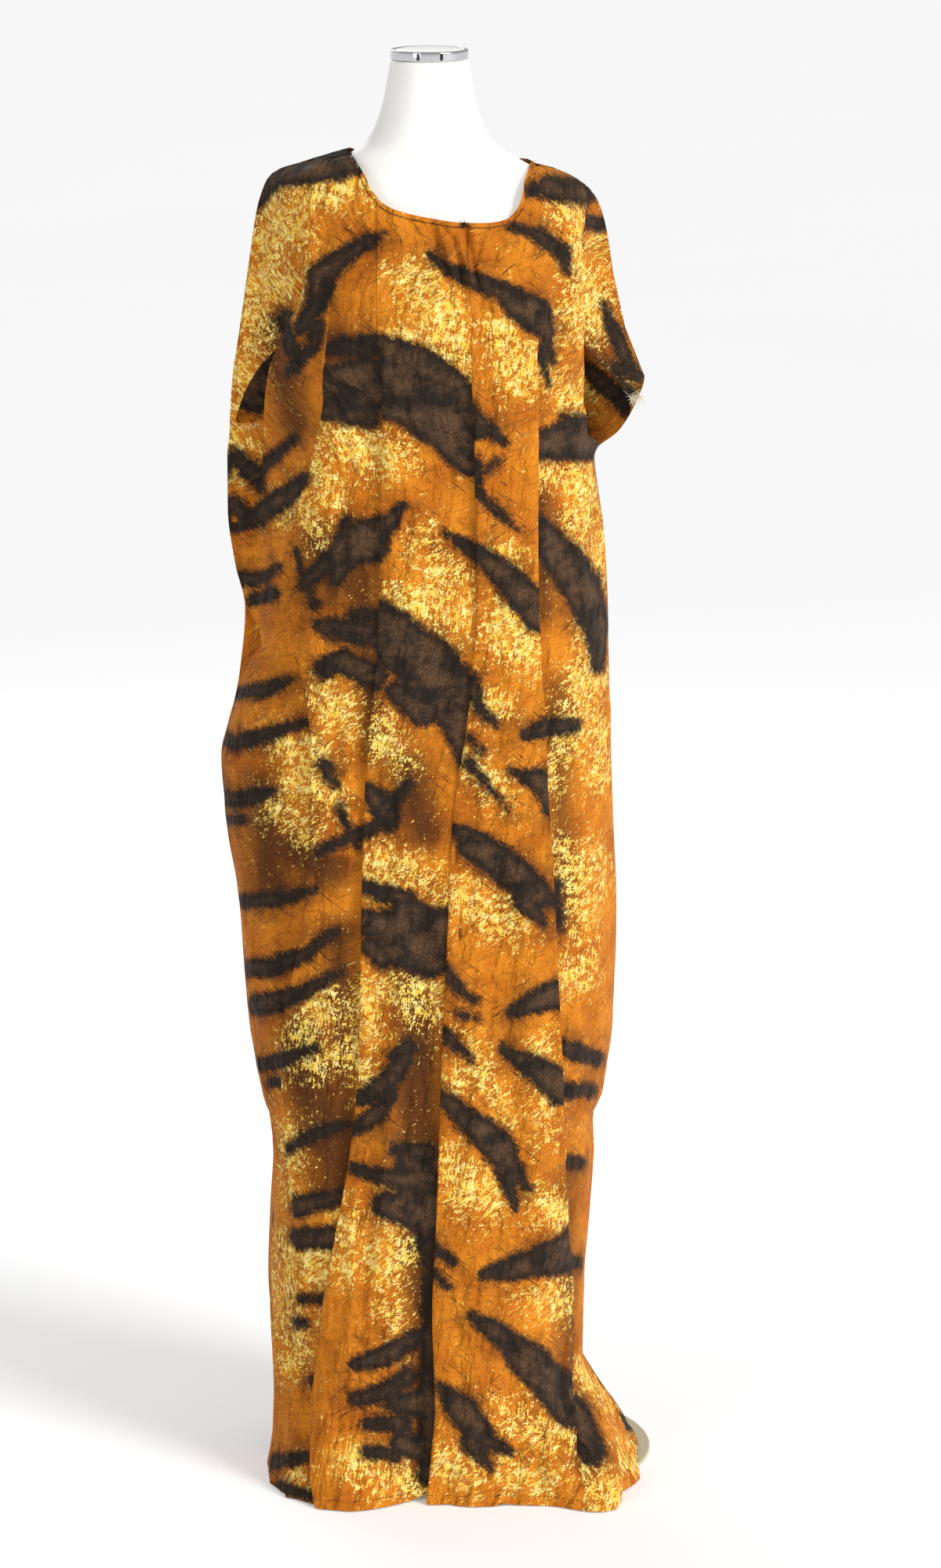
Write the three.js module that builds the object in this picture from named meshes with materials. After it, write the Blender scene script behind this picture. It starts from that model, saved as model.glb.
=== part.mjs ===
// A loose printed dress, front and back panel, on a limbless dress form with a round base plate.
// Millimetres. X runs to the viewer's right, Y away from the viewer, Z up.
// The origin lies on the floor, straight below the middle of the form's neck.
import * as THREE from 'three';

// Driving sizes of the cloth
const WALL = 1.6;
const SEAM_GAP = 0.3;
const ROW_STEP = { front: 38, back: 46 };
const TOP_STEP = 19;
const TOP_BAND = 1430;
const SHOULDER_LINE = 1480;
const NECK_POINT = 1548;
const FOLD_PAD = 11;
const SHORTEST_ROW = 0.4;
const SHARPEST = 0.66;
const CLOSEST_COLUMNS = 3;
const HEM_FLOOR = 1.4;
const HEM_PLATE = 9.8;
const HEM_RAMP = [206, 216];

// Where the arm openings begin and end
const CORNER_LEFT = 1236;
const CORNER_RIGHT = 1286;
const UNDERARM_RIGHT = 1196;
const UNDERARM_TURN = 34;
const UNDERARM_LEFT = 983;
const MOUTH_RIGHT = { x: 193, z: 1310, fall: 1.31, inner: 1336 };
const MOUTH_LEFT = { xOuter: -219, xInner: -178, zLow: 1233, zOuter: 1240, zInner: 1318, reach: 1400 };
const TIP_INSET = { z: 981, amount: 21, height: 26 };

// Driving sizes of the form and its stand
const NECK_RADIUS = 44.3;
const CAP_TOP = 1660;
const BAND_HEIGHT = 11.5;
const PLATE = { radius: 200, height: 6, x: 60 };
const POLE_RADIUS = 12.5;
const SOCKET = { radius: 42, height: 26, lip: 20, foot: 4, cone: 12 };
const FLANGE = { radius: 48, height: 9 };
const FORM_BOTTOM = 785;

// A table with named columns
const table = (names, rows) => {
  const keys = names.split(' ');
  return rows.map((row) => Object.fromEntries(keys.map((key, i) => [key, row[i]])));
};

// The garment's outer lines from the floor up: the side seams, then the sleeves' outer edges,
// then the shoulder seams up to the two neck points.
const OUTLINE = table('z left right', [
  [0, -191, 254],
  [22, -186, 235],
  [48, -184, 223],
  [100, -185, 191],
  [125, -186, 178],
  [220, -193, 181],
  [300, -190, 187],
  [372, -186, 191],
  [412, -190, 190],
  [440, -197, 200],
  [536, -213, 213],
  [660, -221, 217],
  [762, -236, 213],
  [841, -243, 210],
  [880, -234, 209],
  [940, -221, 206],
  [1017, -214, 205],
  [1068, -225, 203],
  [1132, -233, 195],
  [1196, -233, 187],
  [1223, -230, 217],
  [1255, -229.5, 236],
  [1286, -227, 246],
  [1322, -221, 230],
  [1358, -215, 217],
  [1403, -208, 209],
  [1448, -202, 203],
  [1482, -196, 194],
  [1498, -191, 185],
  [1512, -185, 169],
  [1522, -175, 149],
  [1534, -138, 114],
  [1543, -109, 113],
  [1548, -91, 112],
]);

// Plan sections: the sides of the body inside the sleeves, the middles of front and back, the line
// of the side seams, and how square the front and the back of the section are.
const SECTIONS = table('z bodyLeft bodyRight front back seam square squareBack', [
  [0, -191, 254, -217, 170, -34, 3.5, 2.3],
  [40, -184, 226, -205, 162, -20, 3.3, 2.2],
  [120, -186, 179, -194, 152, -6, 3.0, 2.4],
  [300, -190, 187, -179, 142, 0, 2.8, 2.6],
  [600, -217, 215, -160, 134, 0, 2.6, 2.6],
  [850, -241, 210, -146, 129, 2, 2.5, 2.5],
  [940, -214, 206, -142, 124, 3, 2.45, 2.45],
  [1017, -196, 205, -139, 118, 4, 2.4, 2.4],
  [1150, -190, 190, -136, 113, 5, 2.35, 2.35],
  [1280, -184, 184, -134, 112, 5, 2.3, 2.3],
  [1380, -180, 183, -125, 109, 4, 2.25, 2.25],
  [1440, -179, 182, -113, 102, 4, 2.2, 2.2],
  [1480, -179, 180, -101, 92, 4, 2.15, 2.15],
  [1505, -178, 174, -89, 78, 4, 2.1, 2.1],
  [1522, -166, 147, -74, 64, 4, 2.1, 2.1],
  [1536, -131, 113, -52, 46, 4, 2.1, 2.1],
  [1548, -91, 112, -22, 20, 4, 2.1, 2.1],
]);

// Neck edges as heights over the width, front and back
const NECK_FRONT = table('x z', [
  [-91, 1548],
  [-73, 1525],
  [-66, 1511],
  [-54, 1498],
  [-40, 1490],
  [0, 1480],
  [37, 1475],
  [64, 1474.5],
  [86, 1477],
  [97, 1486],
  [104, 1499],
  [107, 1514],
  [114, 1534],
]);
const NECK_BACK = table('x z', [
  [-91, 1548],
  [-70, 1536],
  [-30, 1526],
  [10, 1523],
  [60, 1525],
  [98, 1533],
  [114, 1534],
]);

// Lines of the long folds in the front: where each fold's edge runs at each height
const FRONT_LINES = table('z sleeve side left centre right arm', [
  [0, -184, -160, -134, -5, 168, 214],
  [60, -180, -164, -140, 1, 168, 205],
  [110, -181, -167, -141, 5, 166, 176],
  [220, -188, -160, -128, 2, 168, 180],
  [312, -186, -157, -111, 6, 163, 186],
  [417, -187, -168, -93, 10, 157, 188],
  [515, -205, -172, -83, 13, 153, 206],
  [690, -214, -146, -79, 21, 144, 214],
  [800, -228, -137, -76, 26, 138, 210],
  [890, -222, -136, -70, 40, 134, 206],
  [960, -212, -146, -62, 48, 130, 204],
  [1050, -215, -160, -58, 54, 126, 200],
  [1133, -214, -152, -57, 53, 125, 192],
  [1172, -200, -144, -56, 52, 125, 186],
  [1234, -192, -128, -53, 50, 125, 180],
  [1290, -187, -122, -54, 49, 125, 177],
  [1331, -172, -118, -57, 48, 125, 176],
  [1390, -150, -112, -58, 46, 123, 176],
  [1440, -139, -104, -58, 44, 110, 176],
  [1548, -120, -92, -58, 44, 106, 176],
]);
const BACK_LINES = table('z outer inner middle far', [
  [0, -138, -60, 42, 150],
  [300, -130, -52, 30, 128],
  [700, -148, -60, 24, 132],
  [1000, -134, -58, 20, 122],
  [1250, -120, -50, 22, 116],
  [1548, -112, -46, 24, 112],
]);

// The folds themselves: which side lies on top, how far it laps, how far apart its layers lie,
// where it is laid and over how much height it opens out at its ends.
const FRONT_FOLDS = table('line over lap layer low high fade', [
  ['sleeve', 'right', 18, 4.4, 1200, 1440, 60],
  ['side', 'right', 20, 4.4, -200, 1330, 120],
  ['left', 'right', 19, 4.4, -200, 1370, 120],
  ['centre', 'right', 24, 4.4, -200, 1330, 150],
  ['right', 'left', 20, 4.4, 118, 1380, 120],
  ['arm', 'left', 26, 4.4, 1296, 1470, 50],
]);
const BACK_FOLDS = table('line over lap layer low high fade', [
  ['outer', 'left', 22, 4.4, -200, 1330, 160],
  ['inner', 'left', 25, 4.4, -200, 1390, 160],
  ['middle', 'right', 25, 4.4, -200, 1400, 160],
  ['far', 'right', 22, 4.4, -200, 1340, 160],
]);

// Soft troughs (depth above zero) and swells (below zero), straight in the height
const FRONT_WAVES = table('xLow zLow xHigh zHigh depth width fade', [
  [-18, -300, 0, 560, 15, 21, 320],
  [-96, -200, -100, 60, -24, 44, 110],
  [-166, -200, -160, 60, -10, 22, 110],
  [201, -200, 187, 70, -46, 33, 110],
  [226, -200, 200, 60, -26, 16, 100],
  [92, -200, 98, 300, 6, 26, 200],
  [-106, 120, -70, 900, 5, 24, 220],
  [86, 300, 70, 1250, 4, 26, 240],
  [-4, 620, 20, 1330, 3.5, 22, 240],
  [-170, 1130, -118, 1440, 6, 15, 90],
  [-205, 1010, -196, 1230, 6, 18, 70],
  [150, 1000, 148, 1420, 5, 15, 160],
  [214, 1330, 204, 1440, 4, 14, 50],
]);
const BACK_WAVES = table('xLow zLow xHigh zHigh depth width fade', [
  [-96, -200, -84, 700, 10, 28, 300],
  [88, -200, 76, 800, 11, 30, 300],
  [-8, -200, -14, 900, 8, 26, 320],
  [186, -200, 160, 500, 8, 24, 220],
  [-176, -200, -182, 560, 7, 22, 220],
  [2, 900, 0, 1440, 6, 34, 160],
  [-140, 1080, -110, 1440, 6, 20, 120],
  [142, 1080, 118, 1440, 6, 20, 120],
]);

// The form: half width, front and back of each section
const FORM = table('z half front back square', [
  [785, 158, -92, 96, 2.3],
  [800, 166, -100, 104, 2.3],
  [860, 171, -106, 108, 2.3],
  [930, 160, -101, 103, 2.3],
  [1020, 136, -93, 86, 2.25],
  [1090, 124, -91, 78, 2.2],
  [1170, 132, -103, 80, 2.2],
  [1260, 146, -117, 88, 2.2],
  [1330, 154, -115, 93, 2.2],
  [1400, 164, -103, 92, 2.15],
  [1450, 171, -90, 84, 2.1],
  [1480, 169, -79, 73, 2.1],
  [1500, 159, -67, 62, 2.05],
  [1515, 138, -56, 52, 2.0],
  [1528, 115, -49, 47, 2.0],
  [1542, 91, -47, 46, 2.0],
  [1556, 72, -47, 46, 2.0],
  [1575, 61, -46.5, 46, 2.0],
  [1600, 53, -46, 46, 2.0],
  [1625, 48, -45, 45, 2.0],
  [1648, 44, -44, 44, 2.0],
]);

// A smooth curve through a table's column that never overshoots its rows
function through(rows, inKey, outKey) {
  const x = rows.map((row) => row[inKey]);
  const y = rows.map((row) => row[outKey]);
  const last = x.length - 1;
  const slope = x.slice(1).map((value, i) => (y[i + 1] - y[i]) / (value - x[i]));
  const tangent = x.map((_, i) => {
    if (i === 0) return slope[0];
    if (i === last) return slope[last - 1];
    if (slope[i - 1] * slope[i] <= 0) return 0;
    return (2 * slope[i - 1] * slope[i]) / (slope[i - 1] + slope[i]);
  });
  return (at) => {
    const value = Math.min(Math.max(at, x[0]), x[last]);
    let i = 0;
    while (i < last - 1 && value > x[i + 1]) i += 1;
    const span = x[i + 1] - x[i];
    const t = (value - x[i]) / span;
    const rest = 1 - t;
    return (
      y[i] * rest * rest * (1 + 2 * t) +
      y[i + 1] * t * t * (3 - 2 * t) +
      span * t * rest * (tangent[i] * rest - tangent[i + 1] * t)
    );
  };
}

const columnsOf = (rows) =>
  Object.fromEntries(Object.keys(rows[0]).map((key) => [key, through(rows, 'z', key)]));

const outline = columnsOf(OUTLINE);
const section = columnsOf(SECTIONS);
const lerp = (a, b, t) => a + (b - a) * t;
const clamp = (value, low = 0, high = 1) => Math.min(Math.max(value, low), high);
const smooth = (low, high, value) => {
  const t = clamp((value - low) / (high - low));
  return t * t * (3 - 2 * t);
};
const bell = (value) => Math.exp(-value * value);

// How often a search halves its range
const HALVINGS = 28;

// The front panel's left edge draws in where the sleeve's stitched lower edge meets the body
const leftEdge = (panel, z) =>
  outline.left(z) + (panel.front ? TIP_INSET.amount * bell((z - TIP_INSET.z) / TIP_INSET.height) : 0);

// The top edge of a panel: the neck edge between the neck points, the shoulder seams outside them
function topEdge(panel, x) {
  const first = panel.neck[0].x;
  const last = panel.neck[panel.neck.length - 1].x;
  if (x >= first && x <= last) return panel.neckLine(x);
  const side = x < first ? outline.left : outline.right;
  const reach = Math.abs(x);
  let low = x < first ? CORNER_LEFT : CORNER_RIGHT;
  let high = x < first ? panel.neck[0].z : panel.neck[panel.neck.length - 1].z;
  if (Math.abs(side(low)) <= reach) return low;
  for (let step = 0; step < HALVINGS; step += 1) {
    const middle = (low + high) / 2;
    if (Math.abs(side(middle)) > reach) low = middle;
    else high = middle;
  }
  return (low + high) / 2;
}

// The plain section of a panel at one height, as points with their running length
const SECTION_POINTS = 96;
const SLEEVE_SHARE = 0.42;
function plainSection(panel, z) {
  const left = leftEdge(panel, z);
  const right = outline.right(z);
  const bodyLeft = Math.max(section.bodyLeft(z), left);
  const bodyRight = Math.min(section.bodyRight(z), right);
  const middle = (bodyLeft + bodyRight) / 2;
  const depth = panel.front ? section.front(z) : section.back(z);
  const seam = section.seam(z);
  const power = 2 / (panel.front ? section.square(z) : section.squareBack(z));
  const points = [];
  for (let i = 0; i <= SECTION_POINTS; i += 1) {
    const angle = Math.PI * (1 - i / SECTION_POINTS);
    const across = Math.cos(angle);
    const share = Math.sin(angle) ** power;
    const wing = Math.max(0, 1 - share / SLEEVE_SHARE) ** 2;
    const half = across < 0 ? middle - bodyLeft : bodyRight - middle;
    const sleeve = across < 0 ? left - bodyLeft : right - bodyRight;
    const x = middle + Math.sign(across) * Math.abs(across) ** power * half + sleeve * wing;
    points.push([x, seam + (depth - seam) * share]);
  }
  const run = [0];
  for (let i = 1; i < points.length; i += 1) {
    run.push(run[i - 1] + Math.hypot(points[i][0] - points[i - 1][0], points[i][1] - points[i - 1][1]));
  }
  return { points, run, length: run[SECTION_POINTS] };
}

// The running length at which a section first reaches an X
function runAtX(plain, x) {
  const { points, run } = plain;
  if (x <= points[0][0]) return 0;
  for (let i = 1; i < points.length; i += 1) {
    if (points[i][0] >= x) {
      const t = (x - points[i - 1][0]) / (points[i][0] - points[i - 1][0] || 1);
      return lerp(run[i - 1], run[i], clamp(t));
    }
  }
  return plain.length;
}

// The point at a running length, moved inwards by a depth
function pointAt(plain, at, depth, inward) {
  const { points, run } = plain;
  const value = clamp(at, 0, plain.length);
  let i = 1;
  while (i < SECTION_POINTS && run[i] < value) i += 1;
  const t = (value - run[i - 1]) / (run[i] - run[i - 1] || 1);
  const before = points[Math.max(i - 2, 0)];
  const after = points[Math.min(i + 1, SECTION_POINTS)];
  const size = Math.hypot(after[0] - before[0], after[1] - before[1]);
  const along = [(after[0] - before[0]) / size, (after[1] - before[1]) / size];
  return [
    lerp(points[i - 1][0], points[i][0], t) - along[1] * depth * inward,
    lerp(points[i - 1][1], points[i][1], t) + along[0] * depth * inward,
  ];
}

// How far a fold is laid at a height, from 0 (flat) to 1
const laid = (fold, z) =>
  smooth(fold.low - fold.fade, fold.low, z) * (1 - smooth(fold.high - fold.fade, fold.high, z));

// How far the cloth beneath a fold takes to come back up, and how far a panel's edge stays level
const DROP_REACH = 70;
const EDGE_FADE = 26;

// A fold first lifts its layers apart and then laps: how much of each there is
const LIFT_SHARE = 0.3;
const lifted = (amount) => clamp(amount / LIFT_SHARE);
const lapped = (amount) => clamp((amount - LIFT_SHARE) / (1 - LIFT_SHARE));

// The sideways run and the depth of a laid fold's four corners, and the same corners laid flat
const FLAT_CORNERS = [-6.6, -2.2, 2.2, 6.6];
const CORNER_DEPTHS = [2, 1.3, 0.7, 0];
function foldCorners(fold, amount) {
  const spread = lifted(amount);
  const lap = fold.lap;
  const laidRun = fold.over === 'left' ? [0, 0, -lap, -lap] : [lap, lap, 0, 0];
  const laidDepth = fold.over === 'left' ? [...CORNER_DEPTHS].reverse() : CORNER_DEPTHS;
  return laidRun.map((run, i) => ({
    run: lerp(FLAT_CORNERS[i], run, lapped(amount)),
    depth: laidDepth[i] * fold.layer * spread,
  }));
}

// Which columns a panel has: the edge, plain columns between the fold lines, four at each fold
function columnPlan(panel) {
  const plan = [];
  panel.plain.forEach((count, zone) => {
    for (let i = 0; i < count; i += 1) {
      plan.push({ zone, share: count === 1 ? 0.5 : i / (count - 1) });
    }
    if (zone < panel.folds.length) {
      for (let corner = 0; corner < 4; corner += 1) plan.push({ fold: zone, corner });
    }
  });
  return plan;
}

// The depth of the soft troughs and swells at one place
function waveDepth(panel, x, z) {
  return panel.waves.reduce((sum, wave) => {
    const t = (z - wave.zLow) / (wave.zHigh - wave.zLow);
    const middle = lerp(wave.xLow, wave.xHigh, t);
    const up = smooth(wave.zLow - wave.fade / 2, wave.zLow + wave.fade / 2, z);
    const down = 1 - smooth(wave.zHigh - wave.fade / 2, wave.zHigh + wave.fade / 2, z);
    return sum + wave.depth * up * down * bell((x - middle) / wave.width);
  }, 0);
}

// How far the nearest plain column stays from a fold line: past the lap on the side that lies on top
const LAP_MARGIN = 4;
const padOf = (fold, side, z) =>
  lerp(FOLD_PAD, fold.over === side ? fold.lap + LAP_MARGIN : FOLD_PAD, lifted(laid(fold, z)));

// The depth of the waves at a running length, level across each fold so that its layers lie flat
const CALM = 30;
function calmWave(panel, plain, run, z) {
  const depthAt = (at) => waveDepth(panel, pointAt(plain, at, 0, panel.inward)[0], z);
  const runs = lineRuns(panel, plain, z);
  return panel.folds.reduce((depth, fold, i) => {
    const start = fold.over === 'left' ? runs[i] - fold.lap : runs[i];
    const end = start + fold.lap;
    const level = smooth(start - CALM, start, run) * (1 - smooth(end, end + CALM, run));
    const share = level * lifted(laid(fold, z));
    return share > 0 ? lerp(depth, depthAt((start + end) / 2), share) : depth;
  }, depthAt(run));
}

// Where every fold line lies on the section, kept apart so that no columns close up
function lineRuns(panel, plain, z) {
  const runs = panel.folds.map((fold) => lineRun(panel, plain, fold, z));
  let least = 0;
  runs.forEach((run, i) => {
    least += CLOSEST_COLUMNS * panel.plain[i] + padOf(panel.folds[i], 'left', z);
    runs[i] = Math.max(run, least);
    least = runs[i] + padOf(panel.folds[i], 'right', z);
  });
  let most = plain.length;
  for (let i = runs.length - 1; i >= 0; i -= 1) {
    if (i !== panel.arm) {
      most -= CLOSEST_COLUMNS * panel.plain[i + 1] + padOf(panel.folds[i], 'right', z);
      runs[i] = Math.min(runs[i], most);
    }
    most = runs[i] - padOf(panel.folds[i], 'left', z);
  }
  return runs;
}

// Where a fold line lies on the section; below the right sleeve the arm line is the side seam
function lineRun(panel, plain, fold, z) {
  const run = runAtX(plain, panel.lines[fold.line](z));
  if (!panel.front || fold.line !== 'arm') return run;
  return lerp(plain.length, run, smooth(UNDERARM_RIGHT, UNDERARM_RIGHT + UNDERARM_TURN, z));
}

// The hem lies on the floor, and on top of the plate where it reaches over it
const hemHeight = (x, y) =>
  lerp(HEM_PLATE, HEM_FLOOR, smooth(HEM_RAMP[0], HEM_RAMP[1], Math.hypot(x - PLATE.x, y)));

// The running length and the depth of one column of a panel at one height
function columnAt(panel, column, plain, z) {
  const folds = panel.folds;
  const runs = lineRuns(panel, plain, z);
  const amounts = folds.map((fold) => laid(fold, z));
  let run;
  let depth = 0;
  if (column.fold !== undefined) {
    const corner = foldCorners(folds[column.fold], amounts[column.fold])[column.corner];
    run = runs[column.fold] + corner.run;
    depth = corner.depth;
  } else {
    const before = folds[column.zone - 1];
    const after = folds[column.zone];
    const start = before ? runs[column.zone - 1] + padOf(before, 'right', z) : 0;
    const end = after ? runs[column.zone] - padOf(after, 'left', z) : plain.length;
    const band = before && after ? [TOP_BAND, SHOULDER_LINE] : [UNDERARM_RIGHT, CORNER_RIGHT];
    const high = smooth(...band, z);
    run = lerp(start, end, column.share);
    if (high > 0) run = lerp(run, runAtX(plain, columnX(panel, column, z)), high);
  }
  folds.forEach((fold, i) => {
    if (i === column.fold) return;
    const away = fold.over === 'left' ? run - runs[i] : runs[i] - run;
    if (away > 0 && away < DROP_REACH) {
      depth += 2 * fold.layer * lifted(amounts[i]) * (1 - smooth(0, DROP_REACH, away));
    }
  });
  return { run, depth };
}

// The height at which a column meets the top edge, looked for from a little below the lower corner
const TOP_SEARCH = 60;
function columnTop(panel, column) {
  let low = CORNER_LEFT - TOP_SEARCH;
  let high = NECK_POINT;
  const over = (z) => {
    const plain = plainSection(panel, z);
    const { run } = columnAt(panel, column, plain, z);
    const x = pointAt(plain, run, 0, panel.inward)[0];
    const wanted = columnX(panel, column, z);
    const atEnd = run <= 0.01 || run >= plain.length - 0.01;
    return z >= topEdge(panel, atEnd ? wanted : x);
  };
  for (let step = 0; step < HALVINGS; step += 1) {
    const middle = (low + high) / 2;
    if (over(middle)) high = middle;
    else low = middle;
  }
  return low;
}

// The X that a column keeps in the shoulder region, also where the section is already narrower
function columnX(panel, column, z) {
  const folds = panel.folds;
  if (column.fold !== undefined) {
    const corner = foldCorners(folds[column.fold], laid(folds[column.fold], z))[column.corner];
    return panel.lines[folds[column.fold].line](z) + corner.run;
  }
  const before = folds[column.zone - 1];
  const after = folds[column.zone];
  const from = before
    ? panel.lines[before.line](z) + padOf(before, 'right', z)
    : leftEdge(panel, CORNER_LEFT);
  const to = after
    ? panel.lines[after.line](z) - padOf(after, 'left', z)
    : outline.right(CORNER_RIGHT);
  return lerp(from, to, column.share);
}

// The lower edge of the front's right sleeve, by its X
const rightMouth = (x) =>
  Math.min(MOUTH_RIGHT.inner, MOUTH_RIGHT.z - (x - MOUTH_RIGHT.x) * MOUTH_RIGHT.fall);

// The upper edge of the opening in the front's left sleeve, by its X
function leftMouth(x) {
  const t = clamp((x - MOUTH_LEFT.xOuter) / (MOUTH_LEFT.xInner - MOUTH_LEFT.xOuter));
  return lerp(MOUTH_LEFT.zOuter, MOUTH_LEFT.zInner, t);
}

// A panel's rows from the neck point down to the hem, with a row at each height that the shape needs
const HEM_STOPS = [120, 40];
function rowHeights(panel) {
  const rows = [];
  const topRows = Math.round((NECK_POINT - TOP_BAND) / TOP_STEP);
  for (let i = 0; i < topRows; i += 1) rows.push(lerp(NECK_POINT, TOP_BAND, i / topRows));
  const stops = panel.front
    ? [TOP_BAND, MOUTH_LEFT.zInner, MOUTH_LEFT.zLow, UNDERARM_RIGHT, UNDERARM_LEFT, ...HEM_STOPS]
    : [TOP_BAND, CORNER_RIGHT, UNDERARM_RIGHT, UNDERARM_LEFT, ...HEM_STOPS];
  stops.forEach((stop, i) => {
    rows.push(stop);
    const next = stops[i + 1] ?? HEM_FLOOR;
    const count = Math.max(1, Math.round((stop - next) / panel.rowStep));
    for (let step = 1; step < count; step += 1) rows.push(lerp(stop, next, step / count));
  });
  rows.push(HEM_FLOOR);
  return rows;
}

// A panel's points as columns of rows, clamped to its top edge and to its sleeve's lower edge
const LEAST_SLEEVE = 3;
function panelGrid(panel) {
  const plan = columnPlan(panel);
  const heights = rowHeights(panel);
  const sections = new Map();
  const sectionAt = (z) => {
    if (!sections.has(z)) sections.set(z, plainSection(panel, z));
    return sections.get(z);
  };
  const isArmTip = (column) => column.fold === panel.arm && column.corner === 1;
  const armTip = panel.front ? plan.findIndex(isArmTip) : plan.length;
  const place = (column, z) => {
    const plain = sectionAt(z);
    const { run, depth } = columnAt(panel, column, plain, z);
    const endFade = smooth(0, EDGE_FADE, Math.min(run, plain.length - run));
    const wave = calmWave(panel, plain, run, z) * endFade;
    const fold = depth * (column.fold === panel.arm ? 1 : endFade);
    const [x, y] = pointAt(plain, run, fold + wave, panel.inward);
    const height = z === HEM_FLOOR ? hemHeight(x, y + panel.shift) : z;
    return [x, y + panel.shift, height];
  };
  const ids = [];
  const points = [];
  const bottoms = [];
  plan.forEach((column, c) => {
    const top = columnTop(panel, column);
    const isSleeve = c > armTip;
    const xAtMouth = columnX(panel, column, MOUTH_RIGHT.z);
    const bottom = isSleeve ? rightMouth(xAtMouth) : HEM_FLOOR;
    bottoms.push(bottom);
    const columnIds = [];
    let topId = -1;
    let bottomId = -1;
    heights.forEach((z, r) => {
      const below = heights[Math.min(r + 1, heights.length - 1)];
      const above = heights[Math.max(r - 1, 0)];
      if (z > top - SHORTEST_ROW * (z - below)) {
        if (topId < 0) topId = points.push(place(column, top)) - 1;
        columnIds.push(topId);
        return;
      }
      if (z < bottom + SHORTEST_ROW * (above - z) && bottom > HEM_FLOOR) {
        if (bottomId < 0) bottomId = points.push(place(column, Math.min(bottom, top - LEAST_SLEEVE))) - 1;
        columnIds.push(bottomId);
        return;
      }
      columnIds.push(points.push(place(column, z)) - 1);
    });
    ids.push(columnIds);
  });
  return { plan, heights, ids, points, bottoms, armTip };
}

// The cells of a panel's left sleeve opening, and its edges moved onto the opening's two edges
function cutLeftMouth(panel, grid) {
  const first = grid.heights.indexOf(MOUTH_LEFT.zInner);
  const last = grid.heights.indexOf(MOUTH_LEFT.zLow);
  const heightOf = (c, r) => grid.points[grid.ids[c][r]];
  const isBySleeveFold = (column) => column.zone === 0 || (column.fold === 0 && column.corner === 0);
  const inside = grid.ids
    .map((_, c) => c)
    .filter((c) => heightOf(c, first)[0] > MOUTH_LEFT.xOuter && isBySleeveFold(grid.plan[c]));
  inside.forEach((c) => {
    for (let r = 0; r <= first; r += 1) {
      const id = grid.ids[c][r];
      const isShared = r < first && id === grid.ids[c][r + 1];
      const [x, , z] = grid.points[id];
      if (isShared || z >= MOUTH_LEFT.reach) continue;
      const share = (MOUTH_LEFT.reach - z) / (MOUTH_LEFT.reach - MOUTH_LEFT.zInner);
      grid.points[id][2] = z - share * (MOUTH_LEFT.zInner - leftMouth(x));
    }
  });
  for (let r = first + 1; r < last; r += 1) {
    const share = (r - first) / (last - first);
    heightOf(inside[0], r)[2] = lerp(heightOf(inside[0], first)[2], MOUTH_LEFT.zLow, share);
  }
  return (c, r) => inside.includes(c) && inside.includes(c + 1) && r >= first && r < last;
}

// A wall of even thickness round a grid of points, also in its sharp turns, with a rim at open edges
function wallFromGrid(panel, grid, isCut) {
  const { ids, points, bottoms, armTip } = grid;
  const faces = [];
  const flip = panel.front ? 1 : -1;
  const addFace = (a, b, c) => {
    if (a === b || b === c || a === c) return;
    faces.push(flip > 0 ? [a, b, c] : [a, c, b]);
  };
  for (let c = 0; c + 1 < ids.length; c += 1) {
    for (let r = 0; r + 1 < grid.heights.length; r += 1) {
      if (isCut(c, r)) continue;
      const isSpent = ids[c + 1][r] === ids[c + 1][r + 1];
      if (c === armTip && isSpent && grid.heights[r] <= bottoms[c + 1] + panel.rowStep) continue;
      const a = ids[c][r];
      const b = ids[c][r + 1];
      const d = ids[c + 1][r + 1];
      const e = ids[c + 1][r];
      if ((c + r) % 2 === 0) {
        addFace(a, b, d);
        addFace(a, d, e);
      } else {
        addFace(a, b, e);
        addFace(b, d, e);
      }
    }
  }
  const normals = points.map(() => new THREE.Vector3());
  const corner = points.map((point) => new THREE.Vector3(...point));
  faces.forEach((face) => {
    for (let k = 0; k < 3; k += 1) {
      const [a, b, c] = [face[k], face[(k + 1) % 3], face[(k + 2) % 3]];
      const one = corner[b].clone().sub(corner[a]);
      const two = corner[c].clone().sub(corner[a]);
      const angle = one.angleTo(two);
      normals[a].add(one.cross(two).normalize().multiplyScalar(angle));
    }
  });
  normals.forEach((normal) => normal.normalize());
  const squareness = points.map(() => 1);
  faces.forEach((face) => {
    const [a, b, c] = face.map((i) => corner[i]);
    const faceNormal = b.clone().sub(a).cross(c.clone().sub(a)).normalize();
    face.forEach((i) => {
      squareness[i] = Math.min(squareness[i], Math.max(faceNormal.dot(normals[i]), SHARPEST));
    });
  });
  const positions = [];
  [1, -1].forEach((side) => {
    points.forEach((_, i) => {
      const half = (side * WALL) / 2 / squareness[i];
      const moved = corner[i].clone().addScaledVector(normals[i], half);
      positions.push(moved.x, moved.y, moved.z);
    });
  });
  const count = points.length;
  const index = [];
  const open = new Map();
  faces.forEach(([a, b, c]) => {
    index.push(a, b, c, c + count, b + count, a + count);
    [[a, b], [b, c], [c, a]].forEach(([from, to]) => {
      const back = `${to} ${from}`;
      if (open.has(back)) open.delete(back);
      else open.set(`${from} ${to}`, [from, to]);
    });
  });
  open.forEach(([from, to]) => {
    index.push(to, from, from + count, to, from + count, to + count);
  });
  return packed(positions, index);
}

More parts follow.
